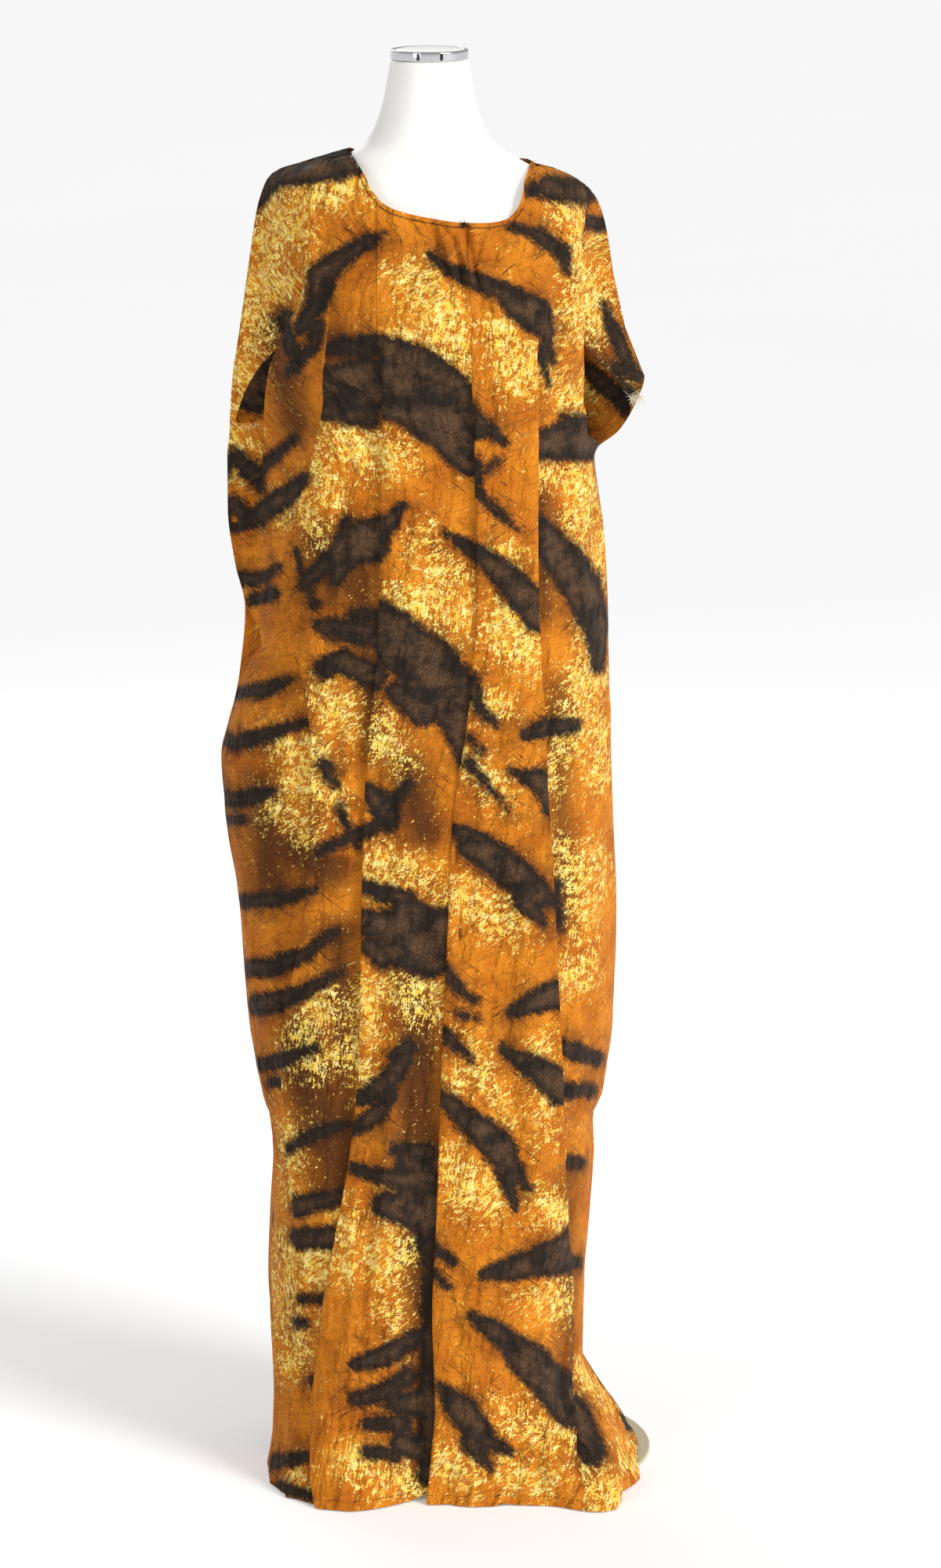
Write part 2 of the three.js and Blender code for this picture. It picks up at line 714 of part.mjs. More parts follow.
// A geometry with only the points that its faces use
function packed(positions, index) {
  const used = new Map();
  const kept = [];
  const renumbered = index.map((i) => {
    if (!used.has(i)) {
      used.set(i, kept.length / 3);
      kept.push(positions[3 * i], positions[3 * i + 1], positions[3 * i + 2]);
    }
    return used.get(i);
  });
  const geometry = new THREE.BufferGeometry();
  geometry.setAttribute('position', new THREE.Float32BufferAttribute(kept, 3));
  geometry.setIndex(renumbered);
  return geometry;
}

// What one panel is made from
const FRONT_COLUMNS = [5, 2, 3, 4, 4, 2, 4];
const BACK_COLUMNS = [5, 3, 3, 3, 5];
function panel(front) {
  const lines = columnsOf(front ? FRONT_LINES : BACK_LINES);
  const neck = front ? NECK_FRONT : NECK_BACK;
  return {
    front,
    lines,
    neck,
    neckLine: through(neck, 'x', 'z'),
    folds: front ? FRONT_FOLDS : BACK_FOLDS,
    arm: front ? FRONT_FOLDS.length - 1 : -1,
    waves: front ? FRONT_WAVES : BACK_WAVES,
    plain: front ? FRONT_COLUMNS : BACK_COLUMNS,
    rowStep: front ? ROW_STEP.front : ROW_STEP.back,
    inward: front ? 1 : -1,
    shift: (front ? -1 : 1) * (WALL / 2 + SEAM_GAP / 2),
  };
}

function panelSolid(front) {
  const piece = panel(front);
  const grid = panelGrid(piece);
  const isCut = front ? cutLeftMouth(piece, grid) : () => false;
  return wallFromGrid(piece, grid, isCut);
}

// A closed solid through the form's sections
const FORM_SEGMENTS = 26;
function formSolid() {
  const positions = [];
  const index = [];
  FORM.forEach((row) => {
    const power = 2 / row.square;
    for (let i = 0; i < FORM_SEGMENTS; i += 1) {
      const angle = (2 * Math.PI * i) / FORM_SEGMENTS;
      const across = Math.cos(angle);
      const along = Math.sin(angle);
      const depth = along < 0 ? -row.front : row.back;
      positions.push(
        Math.sign(across) * Math.abs(across) ** power * row.half,
        Math.sign(along) * Math.abs(along) ** power * depth,
        row.z,
      );
    }
  });
  const ring = (row, i) => row * FORM_SEGMENTS + (i % FORM_SEGMENTS);
  for (let row = 0; row + 1 < FORM.length; row += 1) {
    for (let i = 0; i < FORM_SEGMENTS; i += 1) {
      index.push(ring(row, i), ring(row, i + 1), ring(row + 1, i + 1));
      index.push(ring(row, i), ring(row + 1, i + 1), ring(row + 1, i));
    }
  }
  const bottom = positions.push(0, 0, FORM[0].z) / 3 - 1;
  const top = positions.push(0, 0, FORM[FORM.length - 1].z) / 3 - 1;
  for (let i = 0; i < FORM_SEGMENTS; i += 1) {
    index.push(bottom, ring(0, i + 1), ring(0, i));
    index.push(top, ring(FORM.length - 1, i), ring(FORM.length - 1, i + 1));
  }
  return packed(positions, index);
}

// A turned piece about a vertical axis, from rows of radius and height
function turned(profile, x, segments) {
  const points = profile.map(([radius, z]) => new THREE.Vector2(radius, z));
  const geometry = new THREE.LatheGeometry(points, segments);
  geometry.rotateX(Math.PI / 2);
  geometry.translate(x, 0, 0);
  return geometry;
}

const CHAMFER = 1.2;
const BAND_WALL = 5;
const CAP = { crown: 2, edge: 1, bend: 0.6, rise: 0.7 };
const ROUND = { pole: 16, turned: 32, plate: 48 };

const bandBottom = CAP_TOP - BAND_HEIGHT;
const capRadius = NECK_RADIUS - BAND_WALL - SEAM_GAP;
const plateTop = PLATE.height;
const poleFoot = plateTop + SEAM_GAP + SOCKET.foot;
const poleHead = FORM_BOTTOM - SEAM_GAP - FLANGE.height - SEAM_GAP;
const socketBore = POLE_RADIUS + SEAM_GAP;

const bandProfile = [
  [NECK_RADIUS - BAND_WALL, bandBottom],
  [NECK_RADIUS - CHAMFER, bandBottom],
  [NECK_RADIUS, bandBottom + CHAMFER],
  [NECK_RADIUS, CAP_TOP - CHAMFER],
  [NECK_RADIUS - CHAMFER, CAP_TOP],
  [NECK_RADIUS - BAND_WALL, CAP_TOP],
  [NECK_RADIUS - BAND_WALL, bandBottom],
];
const capProfile = [
  [0, bandBottom],
  [capRadius, bandBottom],
  [capRadius, CAP_TOP - CAP.edge],
  [capRadius * CAP.bend, CAP_TOP + CAP.crown * CAP.rise],
  [0, CAP_TOP + CAP.crown],
];
const plateProfile = [
  [0, 0],
  [PLATE.radius - CHAMFER, 0],
  [PLATE.radius, CHAMFER],
  [PLATE.radius, plateTop - CHAMFER],
  [PLATE.radius - CHAMFER, plateTop],
  [0, plateTop],
];
const socketProfile = [
  [0, plateTop + SEAM_GAP],
  [SOCKET.radius, plateTop + SEAM_GAP],
  [SOCKET.radius, poleFoot],
  [SOCKET.lip, plateTop + SOCKET.cone],
  [SOCKET.lip, plateTop + SOCKET.height],
  [socketBore, plateTop + SOCKET.height],
  [socketBore, poleFoot - SEAM_GAP],
  [0, poleFoot - SEAM_GAP],
];
const poleProfile = [
  [0, poleFoot],
  [POLE_RADIUS, poleFoot],
  [POLE_RADIUS, poleHead],
  [0, poleHead],
];
const flangeProfile = [
  [0, poleHead + SEAM_GAP],
  [FLANGE.radius - CHAMFER, poleHead + SEAM_GAP],
  [FLANGE.radius, poleHead + SEAM_GAP + CHAMFER],
  [FLANGE.radius, FORM_BOTTOM - SEAM_GAP],
  [0, FORM_BOTTOM - SEAM_GAP],
];

const group = new THREE.Group();
function add(name, geometry, color, roughness, metalness) {
  const material = new THREE.MeshStandardMaterial({ color, roughness, metalness });
  const mesh = new THREE.Mesh(geometry, material);
  mesh.name = name;
  group.add(mesh);
}

add('front_panel', panelSolid(true), 0xc8731c, 0.8, 0);
add('back_panel', panelSolid(false), 0xb8661a, 0.8, 0);
add('form_body', formSolid(), 0xf2f0ec, 0.45, 0);
add('neck_band', turned(bandProfile, 0, ROUND.turned), 0xd8d8d8, 0.12, 1);
add('neck_cap', turned(capProfile, 0, ROUND.turned), 0xf4f2ee, 0.4, 0);
add('base_plate', turned(plateProfile, PLATE.x, ROUND.plate), 0xbeb9af, 0.35, 0.6);
add('pole_socket', turned(socketProfile, 0, ROUND.turned), 0xc4c0b8, 0.35, 0.8);
add('pole', turned(poleProfile, 0, ROUND.pole), 0xd0d0d0, 0.2, 1);
add('form_flange', turned(flangeProfile, 0, ROUND.turned), 0xbdb8ae, 0.4, 0.6);

export default group;
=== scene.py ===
"""A loose animal-print dress on a limbless dress form, in a white studio.

Metres, +X to the viewer's right, +Y away from the viewer, +Z up. The tables are in millimetres,
except the print and crease charts, which are in chart units of the front view.
"""

import math

import bpy
import numpy as np
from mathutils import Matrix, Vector
from mathutils.bvhtree import BVHTree


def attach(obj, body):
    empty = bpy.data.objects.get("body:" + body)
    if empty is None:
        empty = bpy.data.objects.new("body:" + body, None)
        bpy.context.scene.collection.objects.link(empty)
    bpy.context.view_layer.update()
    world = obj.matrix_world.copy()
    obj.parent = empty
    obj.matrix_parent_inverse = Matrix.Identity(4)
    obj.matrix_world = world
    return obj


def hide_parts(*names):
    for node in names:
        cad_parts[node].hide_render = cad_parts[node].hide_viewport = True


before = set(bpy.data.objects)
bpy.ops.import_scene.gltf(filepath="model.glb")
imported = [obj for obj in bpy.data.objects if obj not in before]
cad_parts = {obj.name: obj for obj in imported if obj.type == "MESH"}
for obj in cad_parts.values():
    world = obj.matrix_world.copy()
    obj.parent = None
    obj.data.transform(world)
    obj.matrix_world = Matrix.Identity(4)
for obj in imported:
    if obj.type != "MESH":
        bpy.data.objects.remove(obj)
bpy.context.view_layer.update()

MM = 0.001
WELD = 0.00001
ODD_DIRECTION = Vector((0.31, 0.87, 0.38))
THREAD_TIP = 0.35

# The camera, and the chart of its view: chart units are steps of 1/7413 of the distance
CAMERA_AT = (0.0465, -6.6, 2.25)
CAMERA_PITCH = math.radians(12.32)
CHART_SCALE = 7413
CHART_MIDDLE = (600, 1000)

# Coarse columns of each zone between the folds, and the fine steps from one column to the next
ZONE_COLUMNS = {True: (5, 2, 3, 4, 4, 2, 4), False: (5, 3, 3, 3, 5)}
ZONE_STEPS = {True: (6, 8, 8, 14, 14, 10, 7), False: (11, 11, 11, 11, 11)}
FOLD_STEPS = {"face": 7, "edge": 3, "beside": 8}

# Heights and rows of the cloth
ROW = 6.0
LADDER_ROWS = 388
SECTION_STEPS = 241
EDGE_STEPS = 900
NECK_POINT = 1548
TOP_BAND = 1430
SHOULDER_LINE = 1480
CORNER_LEFT = 1236
CORNER_RIGHT = 1286
UNDERARM_RIGHT = 1196
UNDERARM_TURN = 34
MOUTH_RIGHT = {"x": 193, "z": 1310, "fall": 1.31, "inner": 1336}
MOUTH_LEFT = {
    "x_outer": -219, "x_inner": -178, "z_low": 1233, "z_outer": 1240, "z_inner": 1318, "reach": 1400,
}
TIP_INSET = {"z": 981, "amount": 21, "height": 26}

# The hem clears the floor, and the plate where the cloth hangs above it
PLATE_X = 60
HEM_FLOOR = 1.4
HEM_PLATE = 9.8
HEM_RAMP = (206, 216)

# Folds, waves and creases
WALL_SHIFT = 0.35
FOLD_PAD = 11
CLOSEST_COLUMNS = 3
SLEEVE_SHARE = 0.42
CALM = 30
DROP_REACH = 70
EDGE_FADE = 26
DETAIL_FADE = 14
LIFT_SHARE = 0.3
LAP_MARGIN = 4
FLAT_CORNERS = (-6.6, -2.2, 2.2, 6.6)
CORNER_DEPTHS = (2, 1.3, 0.7, 0)
SIDE_GROWTH = 0.45
CREASE_GAIN = 1.9
CREASE_END = 0.15
KERNEL = np.ones(9) / 9

# Rumples: seed, cells of the field, height, and size across and down the cloth
RUMPLES = ((11, 97, 89, 3.2, 55, 170), (23, 131, 127, 1.7, 24, 75), (37, 211, 199, 0.7, 10, 26))

RUMPLE_LEAN = 0.12
ZONE_OFFSET = 300

# The print: each field starts at NO_PRINT and falls below zero inside a stroke
FIELDS = ("ink", "gold", "print_brown_and_shade")
NO_PRINT = 60.0
CHART_LEFT, CHART_RIGHT, CHART_LOW = 298, 826, 1880
BACK_DEPTH = 140
BACK_SHIFT = (30, 118)
BACK_WRAP = 1380
BACK_ZONES = {0: 5, 1: 4, 2: 3, 3: 2, 4: 1}
NECK_SEARCH = {"low": 1400, "side": 170, "far": 90.0, "steps": 120}

# The form's body, the moulding seam down its front and back, and the turned pieces
FORM_LOW = 785
FORM_TOP = 1648
FORM_LADDERS = ((FORM_LOW, 1480, 90), (1484, FORM_TOP, 60))
FORM_STEPS = 144
TURN_STEPS = 160
ROUND_STEPS = 5
SEAM_DIP = 0.5
SEAM_WIDTH = 0.008

# The garment's outer lines, from the floor up to the neck points
OUTLINE = """z left right
0 -191 254
22 -186 235
48 -184 223
100 -185 191
125 -186 178
220 -193 181
300 -190 187
372 -186 191
412 -190 190
440 -197 200
536 -213 213
660 -221 217
762 -236 213
841 -243 210
880 -234 209
940 -221 206
1017 -214 205
1068 -225 203
1132 -233 195
1196 -233 187
1223 -230 217
1255 -229.5 236
1286 -227 246
1322 -221 230
1358 -215 217
1403 -208 209
1448 -202 203
1482 -196 194
1498 -191 185
1512 -185 169
1522 -175 149
1534 -138 114
1543 -109 113
1548 -91 112"""

# Plan sections: body sides, front, back, the side seams' line, squareness of front and back
SECTIONS = """z body_left body_right front back seam square square_back
0 -191 254 -217 170 -34 3.5 2.3
40 -184 226 -205 162 -20 3.3 2.2
120 -186 179 -194 152 -6 3.0 2.4
300 -190 187 -179 142 0 2.8 2.6
600 -217 215 -160 134 0 2.6 2.6
850 -241 210 -146 129 2 2.5 2.5
940 -214 206 -142 124 3 2.45 2.45
1017 -196 205 -139 118 4 2.4 2.4
1150 -190 190 -136 113 5 2.35 2.35
1280 -184 184 -134 112 5 2.3 2.3
1380 -180 183 -125 109 4 2.25 2.25
1440 -179 182 -113 102 4 2.2 2.2
1480 -179 180 -101 92 4 2.15 2.15
1505 -178 174 -89 78 4 2.1 2.1
1522 -166 147 -74 64 4 2.1 2.1
1536 -131 113 -52 46 4 2.1 2.1
1548 -91 112 -22 20 4 2.1 2.1"""

NECK_FRONT = """x z
-91 1548
-73 1525
-66 1511
-54 1498
-40 1490
0 1480
37 1475
64 1474.5
86 1477
97 1486
104 1499
107 1514
114 1534"""

NECK_BACK = """x z
-91 1548
-70 1536
-30 1526
10 1523
60 1525
98 1533
114 1534"""

# Lines of the long folds
FRONT_LINES = """z sleeve side left centre right arm
0 -184 -160 -134 -5 168 214
60 -180 -164 -140 1 168 205
110 -181 -167 -141 5 166 176
220 -188 -160 -128 2 168 180
312 -186 -157 -111 6 163 186
417 -187 -168 -93 10 157 188
515 -205 -172 -83 13 153 206
690 -214 -146 -79 21 144 214
800 -228 -137 -76 26 138 210
890 -222 -136 -70 40 134 206
960 -212 -146 -62 48 130 204
1050 -215 -160 -58 54 126 200
1133 -214 -152 -57 53 125 192
1172 -200 -144 -56 52 125 186
1234 -192 -128 -53 50 125 180
1290 -187 -122 -54 49 125 177
1331 -172 -118 -57 48 125 176
1390 -150 -112 -58 46 123 176
1440 -139 -104 -58 44 110 176
1548 -120 -92 -58 44 106 176"""

BACK_LINES = """z outer inner middle far
0 -138 -60 42 150
300 -130 -52 30 128
700 -148 -60 24 132
1000 -134 -58 20 122
1250 -120 -50 22 116
1548 -112 -46 24 112"""

# The folds: which side lies on top, lap, layer, the heights between which it is laid, and its fade
FRONT_FOLDS = """line over lap layer low high fade
sleeve right 18 4.4 1200 1440 60
side right 20 4.4 -200 1330 120
left right 19 4.4 -200 1370 120
centre right 24 4.4 -200 1330 150
right left 20 4.4 118 1380 120
arm left 26 4.4 1296 1470 50"""

BACK_FOLDS = """line over lap layer low high fade
outer left 22 4.4 -200 1330 160
inner left 25 4.4 -200 1390 160
middle right 25 4.4 -200 1400 160
far right 22 4.4 -200 1340 160"""

# Soft troughs (depth above zero) and swells (below zero)
FRONT_WAVES = """x_low z_low x_high z_high depth width fade
-18 -300 0 560 15 21 320
-96 -200 -100 60 -24 44 110
-166 -200 -160 60 -10 22 110
201 -200 187 70 -46 33 110
226 -200 200 60 -26 16 100
230 -200 206 60 40 24 100
92 -200 98 300 6 26 200
-106 120 -70 900 5 24 220
86 300 70 1250 4 26 240
-4 620 20 1330 3.5 22 240
-170 1130 -118 1440 6 15 90
-205 1010 -196 1230 6 18 70
150 1000 148 1420 5 15 160
214 1330 204 1440 4 14 50"""

BACK_WAVES = """x_low z_low x_high z_high depth width fade
-96 -200 -84 700 10 28 300
88 -200 76 800 11 30 300
-8 -200 -14 900 8 26 320
186 -200 160 500 8 24 220
-176 -200 -182 560 7 22 220
2 900 0 1440 6 34 160
-140 1080 -110 1440 6 20 120
142 1080 118 1440 6 20 120"""

FORM = """z half front back square
785 158 -92 96 2.3
800 166 -100 104 2.3
860 171 -106 108 2.3
930 160 -101 103 2.3
1020 136 -93 86 2.25
1090 124 -91 78 2.2
1170 132 -103 80 2.2
1260 146 -117 88 2.2
1330 154 -115 93 2.2
1400 164 -103 92 2.15
1450 171 -90 84 2.1
1480 169 -79 73 2.1
1500 159 -67 62 2.05
1515 138 -56 52 2.0
1528 115 -49 47 2.0
1542 91 -47 46 2.0
1556 72 -47 46 2.0
1575 61 -46.5 46 2.0
1600 53 -46 46 2.0
1625 48 -45 45 2.0
1648 44 -44 44 2.0"""


# Creases: from, to, depth of the trough (below zero: a ridge) and width, in chart units
CREASES = """x0 y0 x1 y1 depth width
548 285 556 302 3.2 5
556 302 568 341 3.4 5.5
568 341 577 400 2.6 6
577 400 582 455 1.2 9
583 328 589 370 3.0 5
589 370 594 400 2.4 5.5
594 400 598 452 1.2 8
594 291 600 331 3.4 5
600 331 612 363 3.2 5.5
612 363 613 400 2.4 5
613 400 610 450 1.1 9
591 286 577 306 1.6 4
562 298 580 350 -3.4 6
586 300 597 350 -3.4 5
402 280 389 322 -2.6 9
389 322 380 360 -2.6 9
392 300 372 360 2.4 8
380 360 372 400 1.8 8
640 480 636 560 -1.0 7
455 480 470 600 1.6 10
420 470 432 620 -1.2 10
505 440 498 640 -1.0 12
530 560 516 760 1.2 12
640 620 648 900 -1.0 10
665 560 668 880 1.0 11
548 620 540 860 1.0 12
700 300 716 420 1.8 7
716 420 722 560 1.4 8
690 210 708 262 3.6 5
708 262 716 330 1.6 8
683 205 694 250 -2.0 6
730 620 744 860 1.6 8
720 700 736 980 -1.4 9
758 700 762 960 1.2 7
700 930 780 905 -0.9 5
640 980 700 1005 0.9 6
480 1035 560 1020 0.9 5
560 1020 640 1032 0.9 5
345 1148 440 1160 0.8 5
300 880 360 862 0.9 6
300 960 345 950 1.0 6
330 980 420 960 0.9 6
430 600 436 800 1.4 9
425 900 430 1120 1.6 10
445 1000 440 1260 -1.4 9
440 1130 446 1330 1.4 9
505 1150 512 1330 -1.2 9
520 1330 512 1500 2.2 10
500 1380 486 1560 -1.6 10
470 1500 462 1700 1.6 10
452 1560 440 1760 -1.4 9
400 1500 392 1700 1.6 9
372 1420 380 1500 1.2 8
340 1418 360 1412 1.4 5
360 1412 440 1424 1.2 5
360 1722 400 1716 1.6 4
400 1716 460 1712 1.5 4
460 1712 524 1695 1.5 4
524 1695 540 1672 1.2 4
398 1640 372 1760 1.6 8
500 1720 470 1800 1.6 9
480 1800 460 1880 1.4 9
512 1790 504 1880 -1.6 8
620 1200 626 1420 0.9 10
660 1150 668 1440 -0.9 10
700 1200 706 1460 1.0 8
640 1430 632 1620 0.8 10
690 1500 700 1660 -0.8 9
600 1560 596 1760 0.8 10
725 1480 735 1530 2.6 5
735 1530 737 1585 3.2 4
716 1700 722 1820 1.2 8
728 1818 731 1880 4.0 4
755 1745 770 1830 2.2 8
775 1800 792 1880 -2.0 9
735 1790 752 1900 -2.4 8
788 1840 800 1880 1.8 6
335 560 372 548 1.0 6
338 470 352 560 1.4 8
300 600 330 590 1.0 6
318 380 312 470 1.4 9
345 300 336 400 -1.8 10
330 300 322 420 1.8 8
360 300 352 420 1.6 8
296 620 306 720 1.4 6
305 640 318 760 -1.4 7"""


def rows_of(text):
    """A table's rows as dictionaries, numbers read as numbers."""
    head, *lines = text.split("\n")
    names = head.split()
    rows = []
    for line in lines:
        cells = line.split()
        rows.append({n: (c if c[0].isalpha() else float(c)) for n, c in zip(names, cells)})
    return rows


def through(rows, key_in, key_out):
    """A smooth curve through a table's column that never overshoots its rows."""
    x = np.array([r[key_in] for r in rows])
    y = np.array([r[key_out] for r in rows])
    slope = np.diff(y) / np.diff(x)
    tangent = np.empty_like(y)
    tangent[0], tangent[-1] = slope[0], slope[-1]
    a, b = slope[:-1], slope[1:]
    product = a * b
    total = np.where(a + b == 0, 1, a + b)
    tangent[1:-1] = np.where(product <= 0, 0, 2 * product / total)

    def at(value):
        v = np.clip(value, x[0], x[-1])
        i = np.clip(np.searchsorted(x, v, side="left") - 1, 0, len(x) - 2)
        span = x[i + 1] - x[i]
        t = (v - x[i]) / span
        rest = 1 - t
        return (
            y[i] * rest * rest * (1 + 2 * t)
            + y[i + 1] * t * t * (3 - 2 * t)
            + span * t * rest * (tangent[i] * rest - tangent[i + 1] * t)
        )

    return at


def curves(text):
    """A curve over z for each other column of a table."""
    rows = rows_of(text)
    return {k: through(rows, "z", k) for k in rows[0] if k != "z"}


def smooth(low, high, value):
    t = np.clip((value - low) / (high - low), 0, 1)
    return t * t * (3 - 2 * t)


def lerp(a, b, t):
    return a + (b - a) * t


def bell(value):
    return np.exp(-value * value)


def running(steps):
    """The lengths reached after each step, from 0."""
    return np.concatenate([[0], np.cumsum(steps)])


outline = curves(OUTLINE)
section = curves(SECTIONS)
CREASE_ROWS = rows_of(CREASES)


def left_edge(front, z):
    inset = TIP_INSET["amount"] * bell((z - TIP_INSET["z"]) / TIP_INSET["height"])
    return outline["left"](z) + (inset if front else 0)


class Panel:
    """One panel's tables, and the counts of its coarse and fine columns."""

    def __init__(self, front):
        self.front = front
        self.lines = curves(FRONT_LINES if front else BACK_LINES)
        self.folds = rows_of(FRONT_FOLDS if front else BACK_FOLDS)
        self.waves = rows_of(FRONT_WAVES if front else BACK_WAVES)
        neck = rows_of(NECK_FRONT if front else NECK_BACK)
        self.neck = neck
        self.neck_line = through(neck, "x", "z")
        self.plain = ZONE_COLUMNS[front]
        self.arm = len(self.folds) - 1 if front else -1
        self.inward = 1 if front else -1
        self.shift = -WALL_SHIFT if front else WALL_SHIFT
        self.columns = []
        for zone, count in enumerate(self.plain):
            for i in range(count):
                self.columns.append(("plain", zone, 0.5 if count == 1 else i / (count - 1)))
            if zone < len(self.folds):
                self.columns += [("fold", zone, corner) for corner in range(4)]
        self.fine = []
        for i in range(len(self.columns) - 1):
            steps = self.steps_between(self.columns[i], self.columns[i + 1])
            self.fine += [(i, s / steps) for s in range(steps)]
        self.fine.append((len(self.columns) - 2, 1.0))
        self.base = np.array([i for i, _ in self.fine])
        self.part = np.array([t for _, t in self.fine])
        self.zone = np.array([self.zone_of(i + (t > 0.5)) for i, t in self.fine])

    def steps_between(self, a, b):
        """How many fine columns lie between two coarse ones."""
        folds = (a[0] == "fold") + (b[0] == "fold")
        if folds == 2:
            return FOLD_STEPS["face"] if (a[2], b[2]) == (1, 2) else FOLD_STEPS["edge"]
        return FOLD_STEPS["beside"] if folds else ZONE_STEPS[self.front][a[1]]

    def line_at(self, fold, z):
        return float(self.lines[fold["line"]](z))

    def folds_beside(self, zone):
        return self.folds[zone - 1] if zone else None, self.folds[zone] if zone < len(self.folds) else None

    def zone_of(self, i):
        kind, zone, extra = self.columns[min(i, len(self.columns) - 1)]
        return zone + (kind == "fold" and extra >= 2)

    def top_edge(self, x):
        first, last = self.neck[0], self.neck[-1]
        result = np.where((x >= first["x"]) & (x <= last["x"]), self.neck_line(x), 0.0)
        for side, corner, end, mask in (
            ("left", CORNER_LEFT, first["z"], x < first["x"]),
            ("right", CORNER_RIGHT, last["z"], x > last["x"]),
        ):
            heights = np.linspace(corner, end, EDGE_STEPS)
            widths = np.abs(outline[side](heights))
            order = np.argsort(widths)
            found = np.interp(np.abs(x), widths[order], heights[order])
            found = np.where(np.abs(x) >= widths[0], corner, found)
            result = np.where(mask, found, result)
        return result


def laid(fold, z):
    """How far a fold is laid over at a height: 0 not at all, 1 in full."""
    low, high, fade = fold["low"], fold["high"], fold["fade"]
    return float(smooth(low - fade, low, z) * (1 - smooth(high - fade, high, z)))


def lifted(amount):
    return min(max(amount / LIFT_SHARE, 0), 1)


def lapped(amount):
    return min(max((amount - LIFT_SHARE) / (1 - LIFT_SHARE), 0), 1)


def pad_of(fold, side, z):
    """Room kept free beside a fold."""
    laid_pad = fold["lap"] + LAP_MARGIN if fold["over"] == side else FOLD_PAD
    return lerp(FOLD_PAD, laid_pad, lifted(laid(fold, z)))


def corners_of(fold, amount):
    """Shift along the cloth and depth of a fold's four corners."""
    lap = fold["lap"]
    over_left = fold["over"] == "left"
    runs = (0, 0, -lap, -lap) if over_left else (lap, lap, 0, 0)
    depths = CORNER_DEPTHS[::-1] if over_left else CORNER_DEPTHS
    return [
        (lerp(FLAT_CORNERS[i], runs[i], lapped(amount)), depths[i] * fold["layer"] * lifted(amount))
        for i in range(4)
    ]


def plain_section(panel, z):
    """The section of a panel at one height: its points, running lengths and inward normals."""
    left, right = float(left_edge(panel.front, z)), float(outline["right"](z))
    body_left = max(float(section["body_left"](z)), left)
    body_right = min(float(section["body_right"](z)), right)
    middle = (body_left + body_right) / 2
    depth = float(section["front"](z) if panel.front else section["back"](z))
    seam = float(section["seam"](z))
    power = 2 / float(section["square"](z) if panel.front else section["square_back"](z))
    angle = np.pi * (1 - np.linspace(0, 1, SECTION_STEPS))
    across = np.cos(angle)
    share = np.clip(np.sin(angle), 0, 1) ** power
    wing = np.clip(1 - share / SLEEVE_SHARE, 0, None) ** 2
    half = np.where(across < 0, middle - body_left, body_right - middle)
    sleeve = np.where(across < 0, left - body_left, right - body_right)
    x = middle + np.sign(across) * np.abs(across) ** power * half + sleeve * wing
    y = seam + (depth - seam) * share
    run = running(np.hypot(np.diff(x), np.diff(y)))
    return x, y, run


def run_at_x(plain, x):
    return float(np.interp(x, np.maximum.accumulate(plain[0]), plain[2]))


def line_runs(panel, plain, z):
    """Running length of each fold's line at one height, kept clear of its neighbours."""
    runs = []
    for fold in panel.folds:
        run = run_at_x(plain, panel.line_at(fold, z))
        if panel.front and fold["line"] == "arm":
            run = lerp(plain[2][-1], run, float(smooth(UNDERARM_RIGHT, UNDERARM_RIGHT + UNDERARM_TURN, z)))
        runs.append(run)
    least = 0
    for i, run in enumerate(runs):
        least += CLOSEST_COLUMNS * panel.plain[i] + pad_of(panel.folds[i], "left", z)
        runs[i] = max(run, least)
        least = runs[i] + pad_of(panel.folds[i], "right", z)
    most = plain[2][-1]
    for i in reversed(range(len(runs))):
        if i != panel.arm:
            most -= CLOSEST_COLUMNS * panel.plain[i + 1] + pad_of(panel.folds[i], "right", z)
            runs[i] = min(runs[i], most)
        most = runs[i] - pad_of(panel.folds[i], "left", z)
    return runs


def wanted_x(panel, column, z):
    """The x at which a column should meet the panel's top edge."""
    kind, zone, extra = column
    if kind == "fold":
        fold = panel.folds[zone]
        return panel.line_at(fold, z) + corners_of(fold, laid(fold, z))[extra][0]
    before, after = panel.folds_beside(zone)
    start, end = float(left_edge(panel.front, CORNER_LEFT)), float(outline["right"](CORNER_RIGHT))
    if before:
        start = panel.line_at(before, z) + pad_of(before, "right", z)
    if after:
        end = panel.line_at(after, z) - pad_of(after, "left", z)
    return lerp(start, end, extra)


def coarse_path(panel, plain, runs, z):
    """Running length and depth of each coarse column at one height, as in the solid."""
    amounts = [laid(fold, z) for fold in panel.folds]
    out = []
    for column in panel.columns:
        kind, zone, extra = column
        depth = 0
        if kind == "fold":
            shift, depth = corners_of(panel.folds[zone], amounts[zone])[extra]
            run = runs[zone] + shift
        else:
            before, after = panel.folds_beside(zone)
            start = runs[zone - 1] + pad_of(before, "right", z) if before else 0
            end = runs[zone] - pad_of(after, "left", z) if after else plain[2][-1]
            levels = (TOP_BAND, SHOULDER_LINE) if before and after else (UNDERARM_RIGHT, CORNER_RIGHT)
            high = float(smooth(*levels, z))
            run = lerp(start, end, extra)
            if high > 0:
                run = lerp(run, run_at_x(plain, wanted_x(panel, column, z)), high)
        for i, fold in enumerate(panel.folds):
            if kind == "fold" and i == zone:
                continue
            away = run - runs[i] if fold["over"] == "left" else runs[i] - run
            if 0 < away < DROP_REACH:
                depth += 2 * fold["layer"] * lifted(amounts[i]) * (1 - float(smooth(0, DROP_REACH, away)))
        out.append((run, depth))
    return np.array(out)


